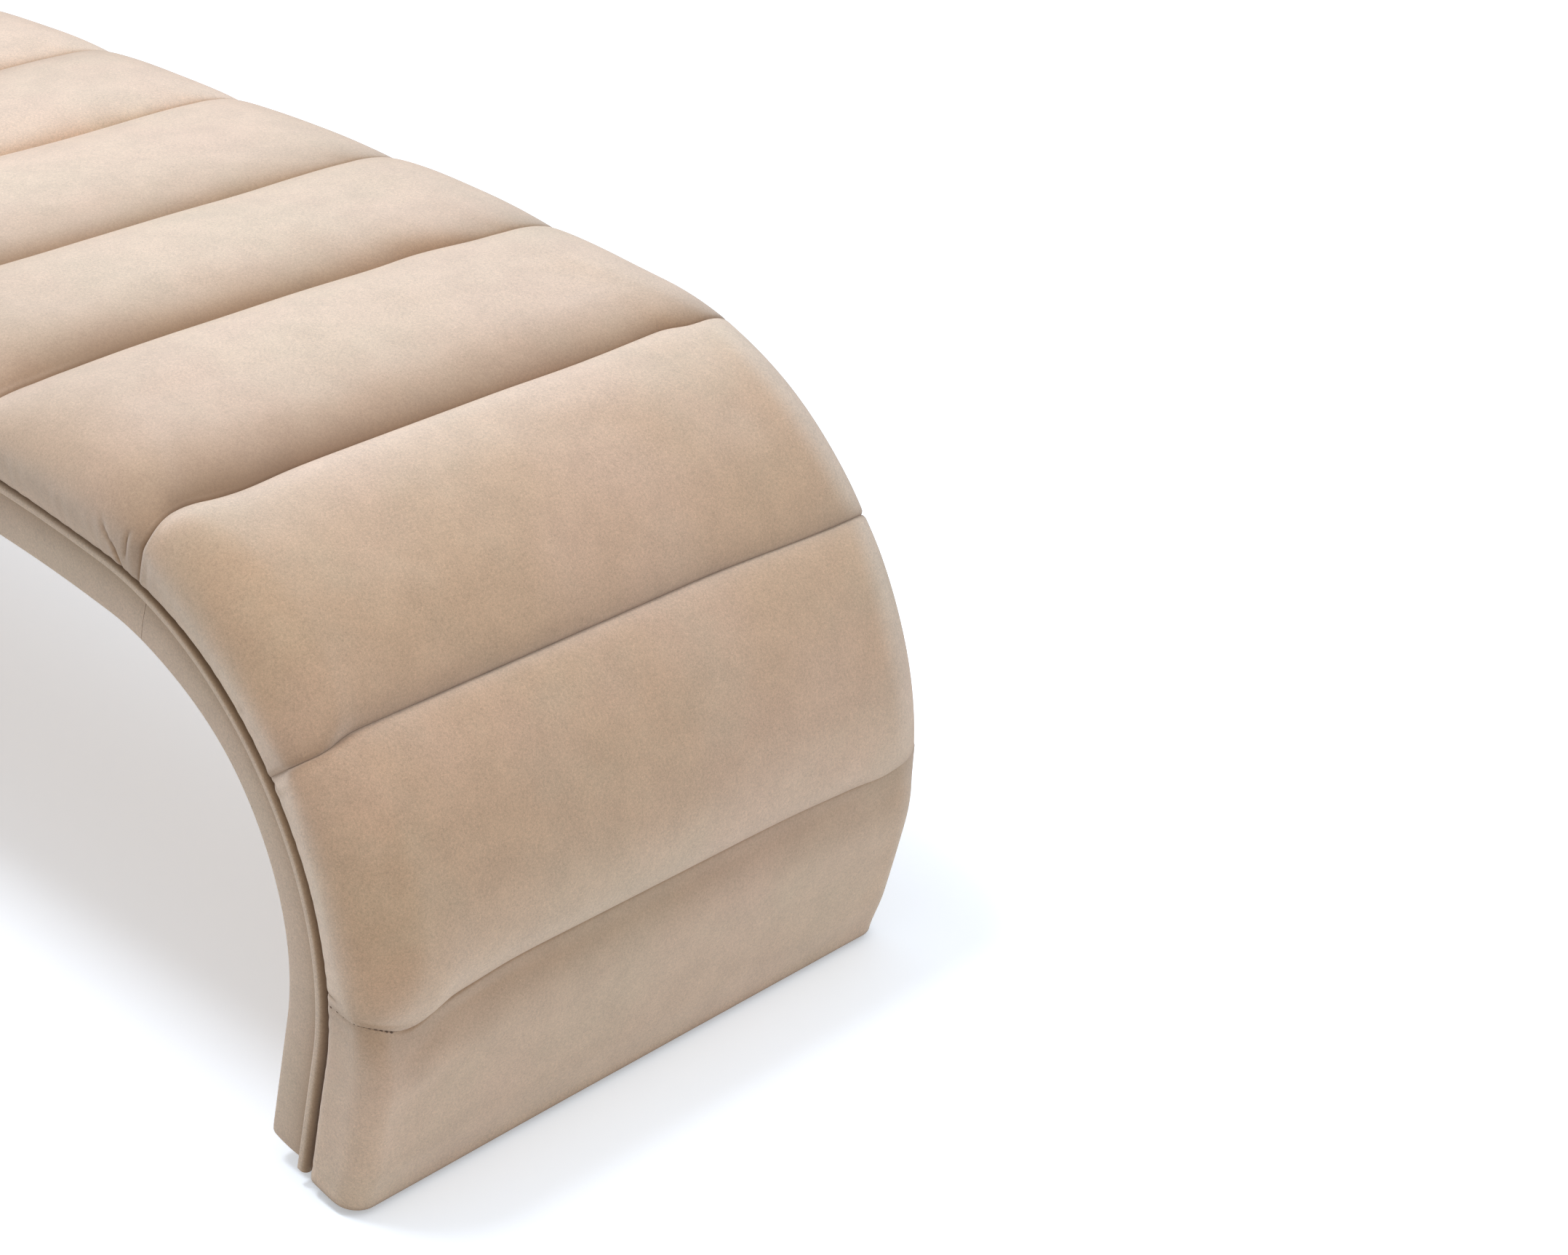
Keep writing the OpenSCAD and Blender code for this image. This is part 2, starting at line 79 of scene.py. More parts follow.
# The layers under the cover: depths below the seam line, places across the bench (Y), the
# welt's radius, and the arc length at which the side bands are joined
WELT_D = 0.0515
WELT_Y = 0.2358
WELT_R = 0.0044
BAND_TOP = 0.0562
ARCH_D = 0.0895
RIB_Y = 0.232
LINING_Y = 0.2318
BAND_JOIN = 0.513


def mix(a, b, t):
    return a + (b - a) * t


def ease(a, b, x):
    """0 up to a, 1 from b on, and a smooth turn between. It also runs downwards, from a high a."""
    t = min(1.0, max(0.0, (x - a) / (b - a)))
    return t * t * (3 - 2 * t)


def hump(x, middle, width):
    """A bell of height 1."""
    return math.exp(-((x - middle) / width) ** 2)


def from_foot(s):
    """Arc length from the nearer foot."""
    return min(s, FULL_S - s)


def lean(s):
    """Angle of the seam line from upright at arc length s of the right half."""
    if s < LEG_LEN:
        return LEAN
    if s < SHOULDER_S:
        return LEAN - (s - LEG_LEN) / CORNER_R
    return max(-math.pi / 2, CORNER_END - (s - SHOULDER_S) / SHOULDER_R)


def on_arch(s, y, h):
    """The point h above the seam line at arc length s. Rows turn along the leg's end near it."""
    q = from_foot(s)
    a = lean(q)
    if q < LEG_LEN:
        x = FOOT_X + q * math.sin(LEAN)
        z = BASE + q * math.cos(LEAN)
    elif q < SEAT_S:
        c, r = (CORNER_C, CORNER_R) if q < SHOULDER_S else (SHOULDER_C, SHOULDER_R)
        x = c[0] + r * math.cos(a)
        z = c[1] - r * math.sin(a)
    else:
        x = HALF_S - q
        z = SEAM_TOP
    shift = h * math.tan(LEAN - FOOT_CUT) * min(1.0, max(0.0, 1 - q / LEG_LEN))
    x += h * math.cos(a) + shift * math.sin(LEAN)
    z += shift * math.cos(LEAN) - h * math.sin(a)
    return Vector((x if s <= HALF_S else -x, y, z))


# Tools of the bench


def only(*pieces):
    """Selects these pieces alone; the first is active."""
    if bpy.context.object and bpy.context.object.mode != "OBJECT":
        bpy.ops.object.mode_set(mode="OBJECT")
    bpy.ops.object.select_all(action="DESELECT")
    for p in pieces:
        p.select_set(True)
    bpy.context.view_layer.objects.active = pieces[0]


def started(name):
    """Names the primitive that has just been added."""
    piece = bpy.context.object
    piece.name = name
    piece.data.name = name
    return piece


def finish_with(piece, kind, **values):
    """Adds a modifier of this kind and applies it."""
    m = piece.modifiers.new(kind.title(), kind)
    for key, value in values.items():
        setattr(m, key, value)
    only(piece)
    bpy.ops.object.modifier_apply(modifier=m.name)


def edit_all(piece):
    """Opens a piece for editing with all of it selected."""
    only(piece)
    bpy.ops.object.mode_set(mode="EDIT")
    bpy.ops.mesh.select_all(action="SELECT")


def smooth(piece, angle=None):
    """Smooth shading, but for edges sharper than the angle in degrees if one is given."""
    only(piece)
    if angle is None:
        bpy.ops.object.shade_smooth()
    else:
        bpy.ops.object.shade_smooth_by_angle(angle=math.radians(angle))


def object_mode():
    bpy.ops.object.mode_set(mode="OBJECT")


def copy_of(piece, name):
    twin = piece.copy()
    twin.data = piece.data.copy()
    twin.name = name
    twin.data.name = name
    bpy.context.scene.collection.objects.link(twin)
    return twin


def dress(piece, material, slot, *nodes):
    """Gives a finished piece its material and its body, and hides the model's nodes that it stands for;
    the slot is not used.
    """
    piece.data.materials.clear()
    piece.data.materials.append(material)
    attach(piece, "root")
    if nodes:
        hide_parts(*nodes)


# Materials


def group(name, inputs, outputs):
    tree = bpy.data.node_groups.new(name, "ShaderNodeTree")
    for label, kind, value in inputs:
        s = tree.interface.new_socket(name=label, in_out="INPUT", socket_type=kind)
        if value is not None:
            s.default_value = value
    for label, kind in outputs:
        tree.interface.new_socket(name=label, in_out="OUTPUT", socket_type=kind)
    return tree, tree.nodes.new("NodeGroupInput"), tree.nodes.new("NodeGroupOutput")


def add(tree, kind, **values):
    """Adds a shader node and sets its properties and inputs by name."""
    node = tree.nodes.new("ShaderNode" + kind)
    for key, value in values.items():
        if hasattr(node, key):
            setattr(node, key, value)
        else:
            node.inputs[key.replace("_", " ")].default_value = value
    return node


def math_node(tree, how, a, b):
    node = tree.nodes.new("ShaderNodeMath")
    node.operation = how
    for k, value in enumerate((a, b)):
        if hasattr(value, "links"):
            tree.links.new(value, node.inputs[k])
        else:
            node.inputs[k].default_value = value
    return node.outputs[0]


def plus(tree, a, b):
    return math_node(tree, "ADD", a, b)


def minus(tree, a, b):
    return math_node(tree, "SUBTRACT", a, b)


def times(tree, a, b):
    return math_node(tree, "MULTIPLY", a, b)


def noise_at(tree, place, scale, detail=3.0, rough=0.55):
    node = add(tree, "TexNoise", Scale=scale, Detail=detail, Roughness=rough)
    tree.links.new(place, node.inputs["Vector"])
    return node.outputs["Fac"]


def cells_at(tree, place, scale):
    node = add(tree, "TexVoronoi", Scale=scale)
    tree.links.new(place, node.inputs["Vector"])
    return node.outputs["Distance"]


def blend_colours(tree, mask, a, b):
    node = tree.nodes.new("ShaderNodeMix")
    node.data_type = "RGBA"
    for socket, value in ((node.inputs[0], mask), (node.inputs[6], a), (node.inputs[7], b)):
        if hasattr(value, "links"):
            tree.links.new(value, socket)
        else:
            socket.default_value = value
    return node.outputs[2]


def spread(tree, value, low, high, out_low=0.0, out_high=1.0):
    """Maps low to high onto out_low to out_high, with a smooth turn between."""
    node = add(tree, "MapRange", interpolation_type="SMOOTHSTEP")
    tree.links.new(value, node.inputs[0])
    for k, v in enumerate((low, high, out_low, out_high), 1):
        node.inputs[k].default_value = v
    return node.outputs[0]


# Tints of the pile's patches, and how strong they, its clouds and its specks are
PINK = (0.78, 0.52, 0.42, 1)
GREEN = (0.55, 0.53, 0.38, 1)
PINK_SHARE = 0.16
GREEN_SHARE = 0.14
CLOUD_SHARE = 0.09
SPECK_SHARE = 0.65


def pile_group():
    """Velvet pile: cloudy patches where it leans one way or another, and its fine grain."""
    tree, given, out = group(
        "velvet_pile",
        [("Place", "NodeSocketVector", None), ("Colour", "NodeSocketColor", (0.7, 0.56, 0.43, 1)),
         ("Patches", "NodeSocketFloat", 1.0), ("Grain", "NodeSocketFloat", 1.0)],
        [("Colour", "NodeSocketColor"), ("Rough", "NodeSocketFloat"), ("Height", "NodeSocketFloat")])
    place = given.outputs["Place"]
    patches = given.outputs["Patches"]
    warm = spread(tree, noise_at(tree, place, 7.0, 2.0), 0.35, 0.68)
    cool = spread(tree, noise_at(tree, place, 11.0, 3.0, 0.6), 0.42, 0.72)
    cloud = spread(tree, noise_at(tree, place, 38.0, 4.0, 0.65), 0.3, 0.7)
    mottle = noise_at(tree, place, 120.0, 3.0, 0.7)
    grain = noise_at(tree, place, 1300.0, 2.0, 0.7)
    fibre = noise_at(tree, place, 520.0, 3.0, 0.75)
    pinker = blend_colours(tree, times(tree, warm, times(tree, patches, PINK_SHARE)),
                         given.outputs["Colour"], PINK)
    mixed = blend_colours(tree, times(tree, cool, times(tree, patches, GREEN_SHARE)), pinker, GREEN)
    cloudy = times(tree, minus(tree, plus(tree, cloud, mottle), 1.0), times(tree, patches, CLOUD_SHARE))
    speck = times(tree, minus(tree, plus(tree, grain, fibre), 1.0),
                  times(tree, given.outputs["Grain"], SPECK_SHARE))
    scale = tree.nodes.new("ShaderNodeVectorMath")
    scale.operation = "SCALE"
    tree.links.new(mixed, scale.inputs[0])
    tree.links.new(plus(tree, plus(tree, cloudy, speck), 1.0), scale.inputs["Scale"])
    tree.links.new(scale.outputs[0], out.inputs["Colour"])
    tree.links.new(spread(tree, fibre, 0.3, 0.7, 0.82, 0.96), out.inputs["Rough"])
    tree.links.new(plus(tree, grain, fibre), out.inputs["Height"])
    return tree


PILE = pile_group()


def new_material(name, **values):
    material = bpy.data.materials.new(name)
    material.use_nodes = True
    tree = material.node_tree
    shader = next(n for n in tree.nodes if n.type == "BSDF_PRINCIPLED")
    for key, value in values.items():
        shader.inputs[key.replace("_", " ")].default_value = value
    return material, tree, shader


def object_place(tree):
    return add(tree, "TexCoord").outputs["Object"]


def attribute(tree, name):
    return add(tree, "Attribute", attribute_name=name).outputs["Fac"]


def colour_with(tree, shader, colour):
    tree.links.new(colour, shader.inputs["Base Color"])


def raise_by(tree, shader, height, strength, distance):
    """Bends the shader's normal by a height, and returns it."""
    raised = add(tree, "Bump", Strength=strength, Distance=distance)
    tree.links.new(height, raised.inputs["Height"])
    tree.links.new(raised.outputs["Normal"], shader.inputs["Normal"])
    return raised.outputs["Normal"]


# The slant at which the pile turns from deep to pale, and at which it starts to look dull
PALE_SLANT = (0.1, 0.62)
DULL_SLANT = (0.7, 1.0)
DULL_SHARE = 0.7
# The slant that the pile's colour takes where the attribute even is 1
EVEN_SLANT = 0.42
# What the colour of painted shade keeps of the deep colour's red, green and blue
PAINTED_SHADE_PARTS = (0.4, 0.35, 0.29)


def velvet(name, deep, pale, patches=1.0, grain=1.0):
    """Velvet: deep face on, paler at a slant, duller at its very edge, and with shade painted into its
    colour where a point attribute asks for it.
    """
    material, tree, shader = new_material(
        name, Sheen_Weight=0.3, Sheen_Roughness=0.7, Sheen_Tint=(1.0, 0.97, 0.94, 1),
        Specular_IOR_Level=0.12)
    pile = tree.nodes.new("ShaderNodeGroup")
    pile.node_tree = PILE
    pile.inputs["Patches"].default_value = patches
    pile.inputs["Grain"].default_value = grain
    tree.links.new(object_place(tree), pile.inputs["Place"])
    normal = raise_by(tree, shader, pile.outputs["Height"], 0.35, 0.0006)
    slant = add(tree, "LayerWeight", Blend=0.5)
    tree.links.new(normal, slant.inputs["Normal"])
    even = attribute(tree, "even")
    kept = times(tree, slant.outputs["Facing"], minus(tree, 1.0, even))
    facing = plus(tree, kept, times(tree, even, EVEN_SLANT))
    colour = blend_colours(tree, spread(tree, facing, *PALE_SLANT), (*deep, 1), (*pale, 1))
    dull = tuple(mix(d, p, DULL_SHARE) for d, p in zip(deep, pale))
    colour = blend_colours(tree, spread(tree, facing, *DULL_SLANT), colour, (*dull, 1))
    tree.links.new(colour, pile.inputs["Colour"])
    # Painted shade: where the point attribute is high, the colour is darkened toward a shade colour
    shade = tuple(d * part for d, part in zip(deep, PAINTED_SHADE_PARTS))
    colour_with(tree, shader, blend_colours(
        tree, attribute(tree, "painted_shade"), pile.outputs["Colour"], (*shade, 1)))
    tree.links.new(pile.outputs["Rough"], shader.inputs["Roughness"])
    return material


TRIM_DEEP = (0.46, 0.3, 0.165)
TRIM_PALE = (0.59, 0.465, 0.34)
VELVET = velvet("velvet_cover", (0.57, 0.378, 0.229), (0.7, 0.56, 0.423))
VELVET_BAND = velvet("velvet_band", TRIM_DEEP, TRIM_PALE, patches=0.8)
VELVET_WELT = velvet("velvet_welt", TRIM_DEEP, TRIM_PALE, patches=0.6, grain=1.2)
VELVET_LINING = velvet("velvet_lining", (0.46, 0.295, 0.16), (0.62, 0.5, 0.385))


def thread():
    """Twisted sewing thread, darker than the velvet."""
    material, tree, shader = new_material("sewing_thread", Roughness=0.7, Specular_IOR_Level=0.2)
    twist = noise_at(tree, object_place(tree), 2400.0)
    colour_with(tree, shader, blend_colours(tree, twist, (0.1, 0.065, 0.045, 1), (0.2, 0.14, 0.1, 1)))
    return material


def spun_cloth(name, colour):
    """Thin bonded cloth: a mat of short fibres with a fine dimpled net."""
    material, tree, shader = new_material(name, Roughness=0.95, Specular_IOR_Level=0.1)
    place = object_place(tree)
    mat = noise_at(tree, place, 420.0, 4.0, 0.8)
    pale = tuple(min(1.0, c * 1.5 + 0.02) for c in colour)
    colour_with(tree, shader, blend_colours(
        tree, spread(tree, mat, 0.35, 0.65), (*colour, 1), (*pale, 1)))
    raise_by(tree, shader, plus(tree, mat, cells_at(tree, place, 900.0)), 0.4, 0.0004)
    return material


def foam_stuff():
    """Open-cell foam, with darker pores."""
    material, tree, shader = new_material("foam", Roughness=0.98, Specular_IOR_Level=0.05)
    pores = spread(tree, cells_at(tree, object_place(tree), 700.0), 0.1, 0.6)
    colour_with(tree, shader, blend_colours(tree, pores, (0.62, 0.55, 0.36, 1), (0.84, 0.78, 0.58, 1)))
    raise_by(tree, shader, pores, 0.6, 0.0008)
    return material


# What the glue between plies keeps of the dark grain's red, green and blue
GLUE = (0.6, 0.5, 0.4)


def timber(name, pale, dark, scales, plies=0.0):
    """Wood whose grain runs along the axis of the smallest scale, with the edges of plies if asked."""
    material, tree, shader = new_material(name, Specular_IOR_Level=0.3)
    place = object_place(tree)
    turn = add(tree, "Mapping")
    turn.inputs["Scale"].default_value = scales
    tree.links.new(place, turn.inputs["Vector"])
    rings = add(tree, "TexWave", Scale=1.0, Distortion=6.0, Detail=3.0)
    tree.links.new(turn.outputs[0], rings.inputs["Vector"])
    pores = noise_at(tree, turn.outputs[0], 14.0, 4.0, 0.7)
    grain = times(tree, rings.outputs["Fac"], spread(tree, pores, 0.3, 0.7, 0.5, 1.0))
    colour = blend_colours(tree, grain, (*pale, 1), (*dark, 1))
    if plies:
        layers = add(tree, "TexWave", Scale=plies, Distortion=0.4, bands_direction="Y")
        tree.links.new(place, layers.inputs["Vector"])
        glue = spread(tree, layers.outputs["Fac"], 0.75, 0.95, 0.0, 0.5)
        brown = tuple(d * part for d, part in zip(dark, GLUE))
        colour = blend_colours(tree, glue, colour, (*brown, 1))
    colour_with(tree, shader, colour)
    tree.links.new(spread(tree, pores, 0.2, 0.8, 0.55, 0.75), shader.inputs["Roughness"])
    raise_by(tree, shader, grain, 0.2, 0.0005)
    return material


def zinc():
    """Zinc plate, with faint spangles."""
    material, tree, shader = new_material("zinc_steel", Metallic=1.0)
    place = object_place(tree)
    tone = spread(tree, cells_at(tree, place, 600.0), 0.0, 0.8)
    colour_with(tree, shader, blend_colours(tree, tone, (0.62, 0.62, 0.58, 1), (0.76, 0.76, 0.74, 1)))
    rough = spread(tree, noise_at(tree, place, 900.0), 0.3, 0.7, 0.28, 0.45)
    tree.links.new(rough, shader.inputs["Roughness"])
    return material


def nylon():
    """Moulded nylon, scuffed."""
    material, tree, shader = new_material("glide_plastic", Specular_IOR_Level=0.45)
    scuffs = noise_at(tree, object_place(tree), 260.0, 5.0, 0.7)
    worn = spread(tree, scuffs, 0.45, 0.75)
    colour_with(tree, shader, blend_colours(tree, worn, (0.66, 0.63, 0.56, 1), (0.5, 0.47, 0.41, 1)))
    tree.links.new(spread(tree, scuffs, 0.3, 0.8, 0.35, 0.6), shader.inputs["Roughness"])
    raise_by(tree, shader, scuffs, 0.15, 0.0003)
    return material


THREAD = thread()
FOAM = foam_stuff()
BACKING = spun_cloth("backing_cloth", (0.66, 0.64, 0.6))
FOOT_CLOTH = spun_cloth("foot_cloth", (0.02, 0.02, 0.02))
PLYWOOD = timber("plywood", (0.68, 0.5, 0.28), (0.5, 0.33, 0.16), (9, 9, 9), plies=210.0)
SOFTWOOD = timber("softwood", (0.72, 0.52, 0.28), (0.55, 0.34, 0.15), (60, 3, 60))
ZINC = zinc()
NYLON = nylon()


# Channel covers

# Cells across a channel, more of them where it has gathers, and cells of the flat, of the roll
# and of the tuck on either side of the bench's middle
ACROSS = 44
GATHERED_ACROSS = 72
GATHERED = (3, CHANNELS - 4)
FLAT_CELLS = 26
ROLL_CELLS = 18
TUCK_CELLS = 14
HALF_CELLS = FLAT_CELLS + ROLL_CELLS + TUCK_CELLS
FLAT_T = FLAT_CELLS / HALF_CELLS
ROLL_T = (FLAT_CELLS + ROLL_CELLS) / HALF_CELLS
# How much the cells crowd toward the seams
CROWDING = 0.8
# Girth of the flat, of the roll and of the tuck along a seam
FLAT_GIRTH = 0.224
ROLL_GIRTH = 0.0265
TUCK_GIRTH = 0.0355

# Arc lengths from a foot over which the leg's measures give way to the seat's: those of the
# section, of the far side's top, of the turn under the roll, and of the pile
SECTION_SPAN = (0.5, 0.72)
TOP_SPAN = (0.45, 0.6)
TURN_SPAN = (0.42, 0.6)
PILE_SPAN = (0.38, 0.54)

# The two sides of the bench
NEAR = -1
FAR = 1


def is_foot(i):
    return i in (0, CHANNELS - 1)


def from_floor(i, u):
    """How far up its leg a foot panel has come at u of its width."""
    return u if i == 0 else 1 - u


def seam_at(k):
    """Arc length of seam k: 0 and CHANNELS are the two feet."""
    return 0.0 if k == 0 else FULL_S if k == CHANNELS else FOOT_PANEL + (k - 1) * CHANNEL_W


# The seams were sewn by eye, so some lie up to 17 mm off their even places
SEAM_OFF = {3: -0.0035, 4: -0.002, 5: -0.0165, 6: -0.006, 7: -0.0145, 8: -0.004, 9: 0.003, 10: -0.002}
# How seams stray toward the floor on their way out, by their count from the nearer foot and by
# side. A bump has its height, middle and width, and a drift its amount, start and end, where the
# last two are metres of girth from the middle of the bench
BUMPS = {(1, NEAR): ((0.0125, 0.212, 0.02), (0.0035, 0.175, 0.03)),
         (1, FAR): ((0.00375, 0.212, 0.02), (0.00105, 0.175, 0.03)),
         (3, NEAR): ((0.003, 0.175, 0.03), (-0.002, 0.213, 0.01))}
DRIFTS = {(2, NEAR): ((0.0052, 0.206, 0.234),),
          (2, FAR): ((0.004, 0.08, 0.22),),
          (3, NEAR): ((0.0058, 0.222, 0.245),),
          (3, FAR): ((0.0025, 0.03, 0.15), (0.0055, 0.188, 0.215)),
          (4, FAR): ((0.0035, 0.0, 0.125), (0.011, 0.12, 0.2)),
          (5, FAR): ((0.005, 0.0, 0.2),),
          (6, FAR): ((0.005, 0.0, 0.2),)}


def seam_shift(k, side, girth):
    """How far seam k strays along the arch at a girth from the middle of the bench."""
    if k in (0, CHANNELS):
        return 0.0
    which = (min(k, CHANNELS - k), side)
    down = sum(rise * hump(girth, middle, width) for rise, middle, width in BUMPS.get(which, ()))
    down += sum(amount * ease(start, end, girth) for amount, start, end in DRIFTS.get(which, ()))
    toward_foot = 1 if k <= CHANNELS // 2 + 1 else -1
    return SEAM_OFF.get(k, 0.0) - toward_foot * down


def groove_girth(t):
    """Girth along a seam from the middle of the bench, for the parameter t of a section."""
    if t <= FLAT_T:
        return FLAT_GIRTH * t / FLAT_T
    if t <= ROLL_T:
        return FLAT_GIRTH + ROLL_GIRTH * (t - FLAT_T) / (ROLL_T - FLAT_T)
    return FLAT_GIRTH + ROLL_GIRTH + TUCK_GIRTH * (t - ROLL_T) / (1 - ROLL_T)


# How far out the cover's side stands: where a seam ends, by the seam's count from the nearer
# foot, and at the full middle of a channel
SEAM_REACH = {NEAR: {0: 0.2395, 1: 0.2405, 2: 0.24, 3: 0.2395},
              FAR: {0: 0.2405, 1: 0.251, 2: 0.247, 3: 0.249}}
SEAT_REACH = 0.246
FULL_REACH = {NEAR: 0.2445, FAR: 0.2455}
# Where the roll starts, and how far under the seam line it stands out most, on leg and seat: by
# a seam and at the middle of a channel
SEAM_START = (0.224, 0.205)
FULL_START = (0.2, 0.165)
SEAM_BELLY = (0.016, 0.02)
FULL_BELLY = 0.022
# The seat's valleys droop at their ends, and every valley gets shallower toward the sides
DROOP = 0.0045
DROOP_FROM = 0.11
SHALLOWER = 0.6
SHALLOW_FROM = 0.1
# Toward the far side valleys rise, by this much on leg and seat, and the seat's crowns sink
FAR_RISE = (0.005, 0.0105)
FAR_FALL = 0.003
FAR_FROM = 0.15
# How square a channel's shoulders are, how far a foot panel dips at its seam, and the parts of
# its height over which it gets full and dips
SQUARENESS = 2.5
FOOT_DIP = 0.005
FOOT_FILLS = (0.0, 0.25)
FOOT_DIPS = (0.62, 1.0)


def seam_reach(k, side):
    return SEAM_REACH[side].get(min(k, CHANNELS - k), SEAT_REACH)


def swell(u):
    """How full a channel stands at u of its width: rounded shoulders that fall away to the seams."""
    return math.sqrt(max(0.0, 1 - abs(2 * u - 1) ** SQUARENESS))


def crown_height(i, u, full, seat):
    """Height over the seam line at the middle of the bench; the seams are drawn in below it."""
    if not is_foot(i):
        valley = VALLEY * mix(1.0, SEAT_DEEPER, seat)
        return (CROWN + valley) * full - valley
    rise = from_floor(i, u)
    return FOOT_CROWN * ease(*FOOT_FILLS, rise) - (FOOT_CROWN + FOOT_DIP) * ease(*FOOT_DIPS, rise) ** 2


def section_shape(i, u, side):
    """Crown, start of the roll, reach, depth of the belly and droop of the ends at u of channel i."""
    full = swell(u)
    seat = ease(*SECTION_SPAN, from_foot(mix(seam_at(i), seam_at(i + 1), u)))
    reach = mix(seam_reach(i, side), seam_reach(i + 1, side), u)
    start = mix(*SEAM_START, seat)
    belly = mix(*SEAM_BELLY, seat)
    droop = DROOP * seat * (1 - full)
    top = crown_height(i, u, full, seat)
    if is_foot(i):
        return top, start, reach, belly, droop
    start = mix(start, mix(*FULL_START, seat), full)
    reach = mix(reach, FULL_REACH[side], full)
    return top, start, reach, mix(belly, FULL_BELLY, full), droop


# Gathers beside the seams' ends: arc length and height of both ends of each, and its depth
GATHERS = (
    (0.558, -0.012, 0.537, -0.042, 0.0028), (0.546, -0.021, 0.537, -0.042, 0.0022),
    (0.528, -0.008, 0.530, -0.030, 0.0018), (0.388, -0.020, 0.383, -0.040, 0.0012),
    (0.316, -0.030, 0.337, -0.042, 0.0014), (0.170, -0.022, 0.169, -0.041, 0.0022),
)
GATHER_W = 0.0022


def gathered(s, h):
    """Depth of the gathers at a place on the cover's side: a groove between two low ridges."""
    depth = 0.0
    for s1, h1, s2, h2, deep in GATHERS:
        ds, dh = s2 - s1, h2 - h1
        along = min(1.0, max(0.0, ((s - s1) * ds + (h - h1) * dh) / (ds * ds + dh * dh)))
        off = math.hypot(s - s1 - along * ds, h - h1 - along * dh) / GATHER_W
        depth += deep * ease(0.0, 0.5, along) * (1 - off * off) * math.exp(-off * off)
    return depth


# The tuck under the roll: parts of its girth where it has fallen and where it has turned in, how
# late it draws in as it falls, and the turn's depth on leg and seat, reach, least distance inside
# the roll, and radius
FALLEN = 0.5
TURNED = 0.85
LATENESS = 1.6
TURN_D = (0.037, 0.0415)
TURN_REACH = 0.24
TURN_INSIDE = 0.0003
TURN_R = 0.0045


def tuck_point(w, reach, belly, at):
    """Out and up of the cover at w of its tuck: it falls, turns in and drops behind the welt."""
    edge = BAND_Y - CLOTH
    turn = mix(*TURN_D, ease(*TURN_SPAN, at))
    wide = min(TURN_REACH, reach - TURN_INSIDE)
    if w < FALLEN:
        return reach - (reach - wide) * (w / FALLEN) ** LATENESS, mix(-belly, -turn, w / FALLEN)
    if w < TURNED:
        a = math.pi / 2 * (w - FALLEN) / (TURNED - FALLEN)
        return edge + (wide - edge) * math.cos(a), -turn - TURN_R * math.sin(a)
    return edge, mix(-turn - TURN_R, -DROP, (w - TURNED) / (1 - TURNED))


# The fold along a seam: its part of a channel's width, its depth, how far it opens, and the
# girth over which it ends at a seam that is sewn down flat
FOLD_PART = 0.012
FOLD_D = 0.004
FOLD_OPENS = 0.0003
FOLD_END = (0.19, 0.225)
# Puckers along the welts, a short wave within a long one, and lumps of the wadding
PUCKER = 0.0004
PUCKER_WAVES = (0.0021, 0.0146)
PUCKER_T = (ROLL_T - 0.05, ROLL_T + 0.06)
LUMP = 0.0007
LUMPS_PER_M = 16
LUMPS_SLICE = 0.5


def is_sewn_flat(i, u):
    """True by the seam over a foot panel, whose ends are sewn down flat."""
    last = CHANNELS - 1
    return i in (0, 1) and (u > 0.5) == (i == 0) or i in (last - 1, last) and (u < 0.5) == (i == last)


def fold_at(i, u, t, girth):
    """How much of a seam's fold there is; the cover has none where it ends at the floor."""
    if is_foot(i) and from_floor(i, u) < 0.5:
        return 0.0
    left = 1 - ease(*FOLD_END, girth) if is_sewn_flat(i, u) else 1 - ease(ROLL_T, 1.0, t)
    return left * max(0.0, 1 - min(u, 1 - u) / FOLD_PART)


def cover_point(i, u, v):
    """Arc length, out and up of cover i at u across its channel and v from near welt (-1) to far (1)."""
    side = NEAR if v < 0 else FAR
    t = abs(v)
    top, start, reach, belly, droop = section_shape(i, u, side)
    at = from_foot(mix(seam_at(i), seam_at(i + 1), u))
    seat = ease(*TOP_SPAN, at)
    if side == FAR and not is_foot(i):
        top += mix(mix(*FAR_RISE, seat), -FAR_FALL * seat, swell(u)) * ease(FAR_FROM, FLAT_T, t)
    shallow = max(0.0, -top) * SHALLOWER
    if t <= FLAT_T:
        y = start * t / FLAT_T
        h = top + shallow * ease(SHALLOW_FROM, start, y)
        h -= droop * max(0.0, (y - DROOP_FROM) / (start - DROOP_FROM)) ** 2
    elif t <= ROLL_T:
        a = math.pi / 2 * (t - FLAT_T) / (ROLL_T - FLAT_T)
        y = start + (reach - start) * math.sin(a)
        h = -belly + (top + shallow - droop + belly) * math.cos(a)
    else:
        y, h = tuck_point((t - ROLL_T) / (1 - ROLL_T), reach, belly, at)
    girth = groove_girth(t)
    s = mix(seam_at(i) + seam_shift(i, side, girth), seam_at(i + 1) + seam_shift(i + 1, side, girth), u)
    rolled = ease(FLAT_T, ROLL_T, t)
    y -= gathered(from_foot(s), h) * rolled
    ripple = math.sin(s / PUCKER_WAVES[0]) * math.sin(s / PUCKER_WAVES[1] + 1)
    y += PUCKER * ripple * ease(*PUCKER_T, t)
    h += LUMP * noise.noise(Vector((LUMPS_PER_M * s, LUMPS_PER_M * side * y, LUMPS_SLICE))) * swell(u)
    sunk = fold_at(i, u, t, girth)
    h -= FOLD_D * sunk
    y -= FOLD_D * sunk * rolled
    s += FOLD_OPENS * sunk * (1 if u < 0.5 else -1)
    return s, side * y, h


# Bands of painted shade, (strength, width in metres), that fade away from a seam like the shade in
# its valley: above it on the leg and on the seat, below it on the leg and on a foot panel, and
# close beside it
LEG_SHADE = (0.42, 0.008)
SEAT_SHADE = (0.75, 0.027)
UNDER_SHADE = (0.3, 0.003)
FOOT_SHADE = (0.37, 0.038)
SEAM_SHADE = (0.7, 0.0016)
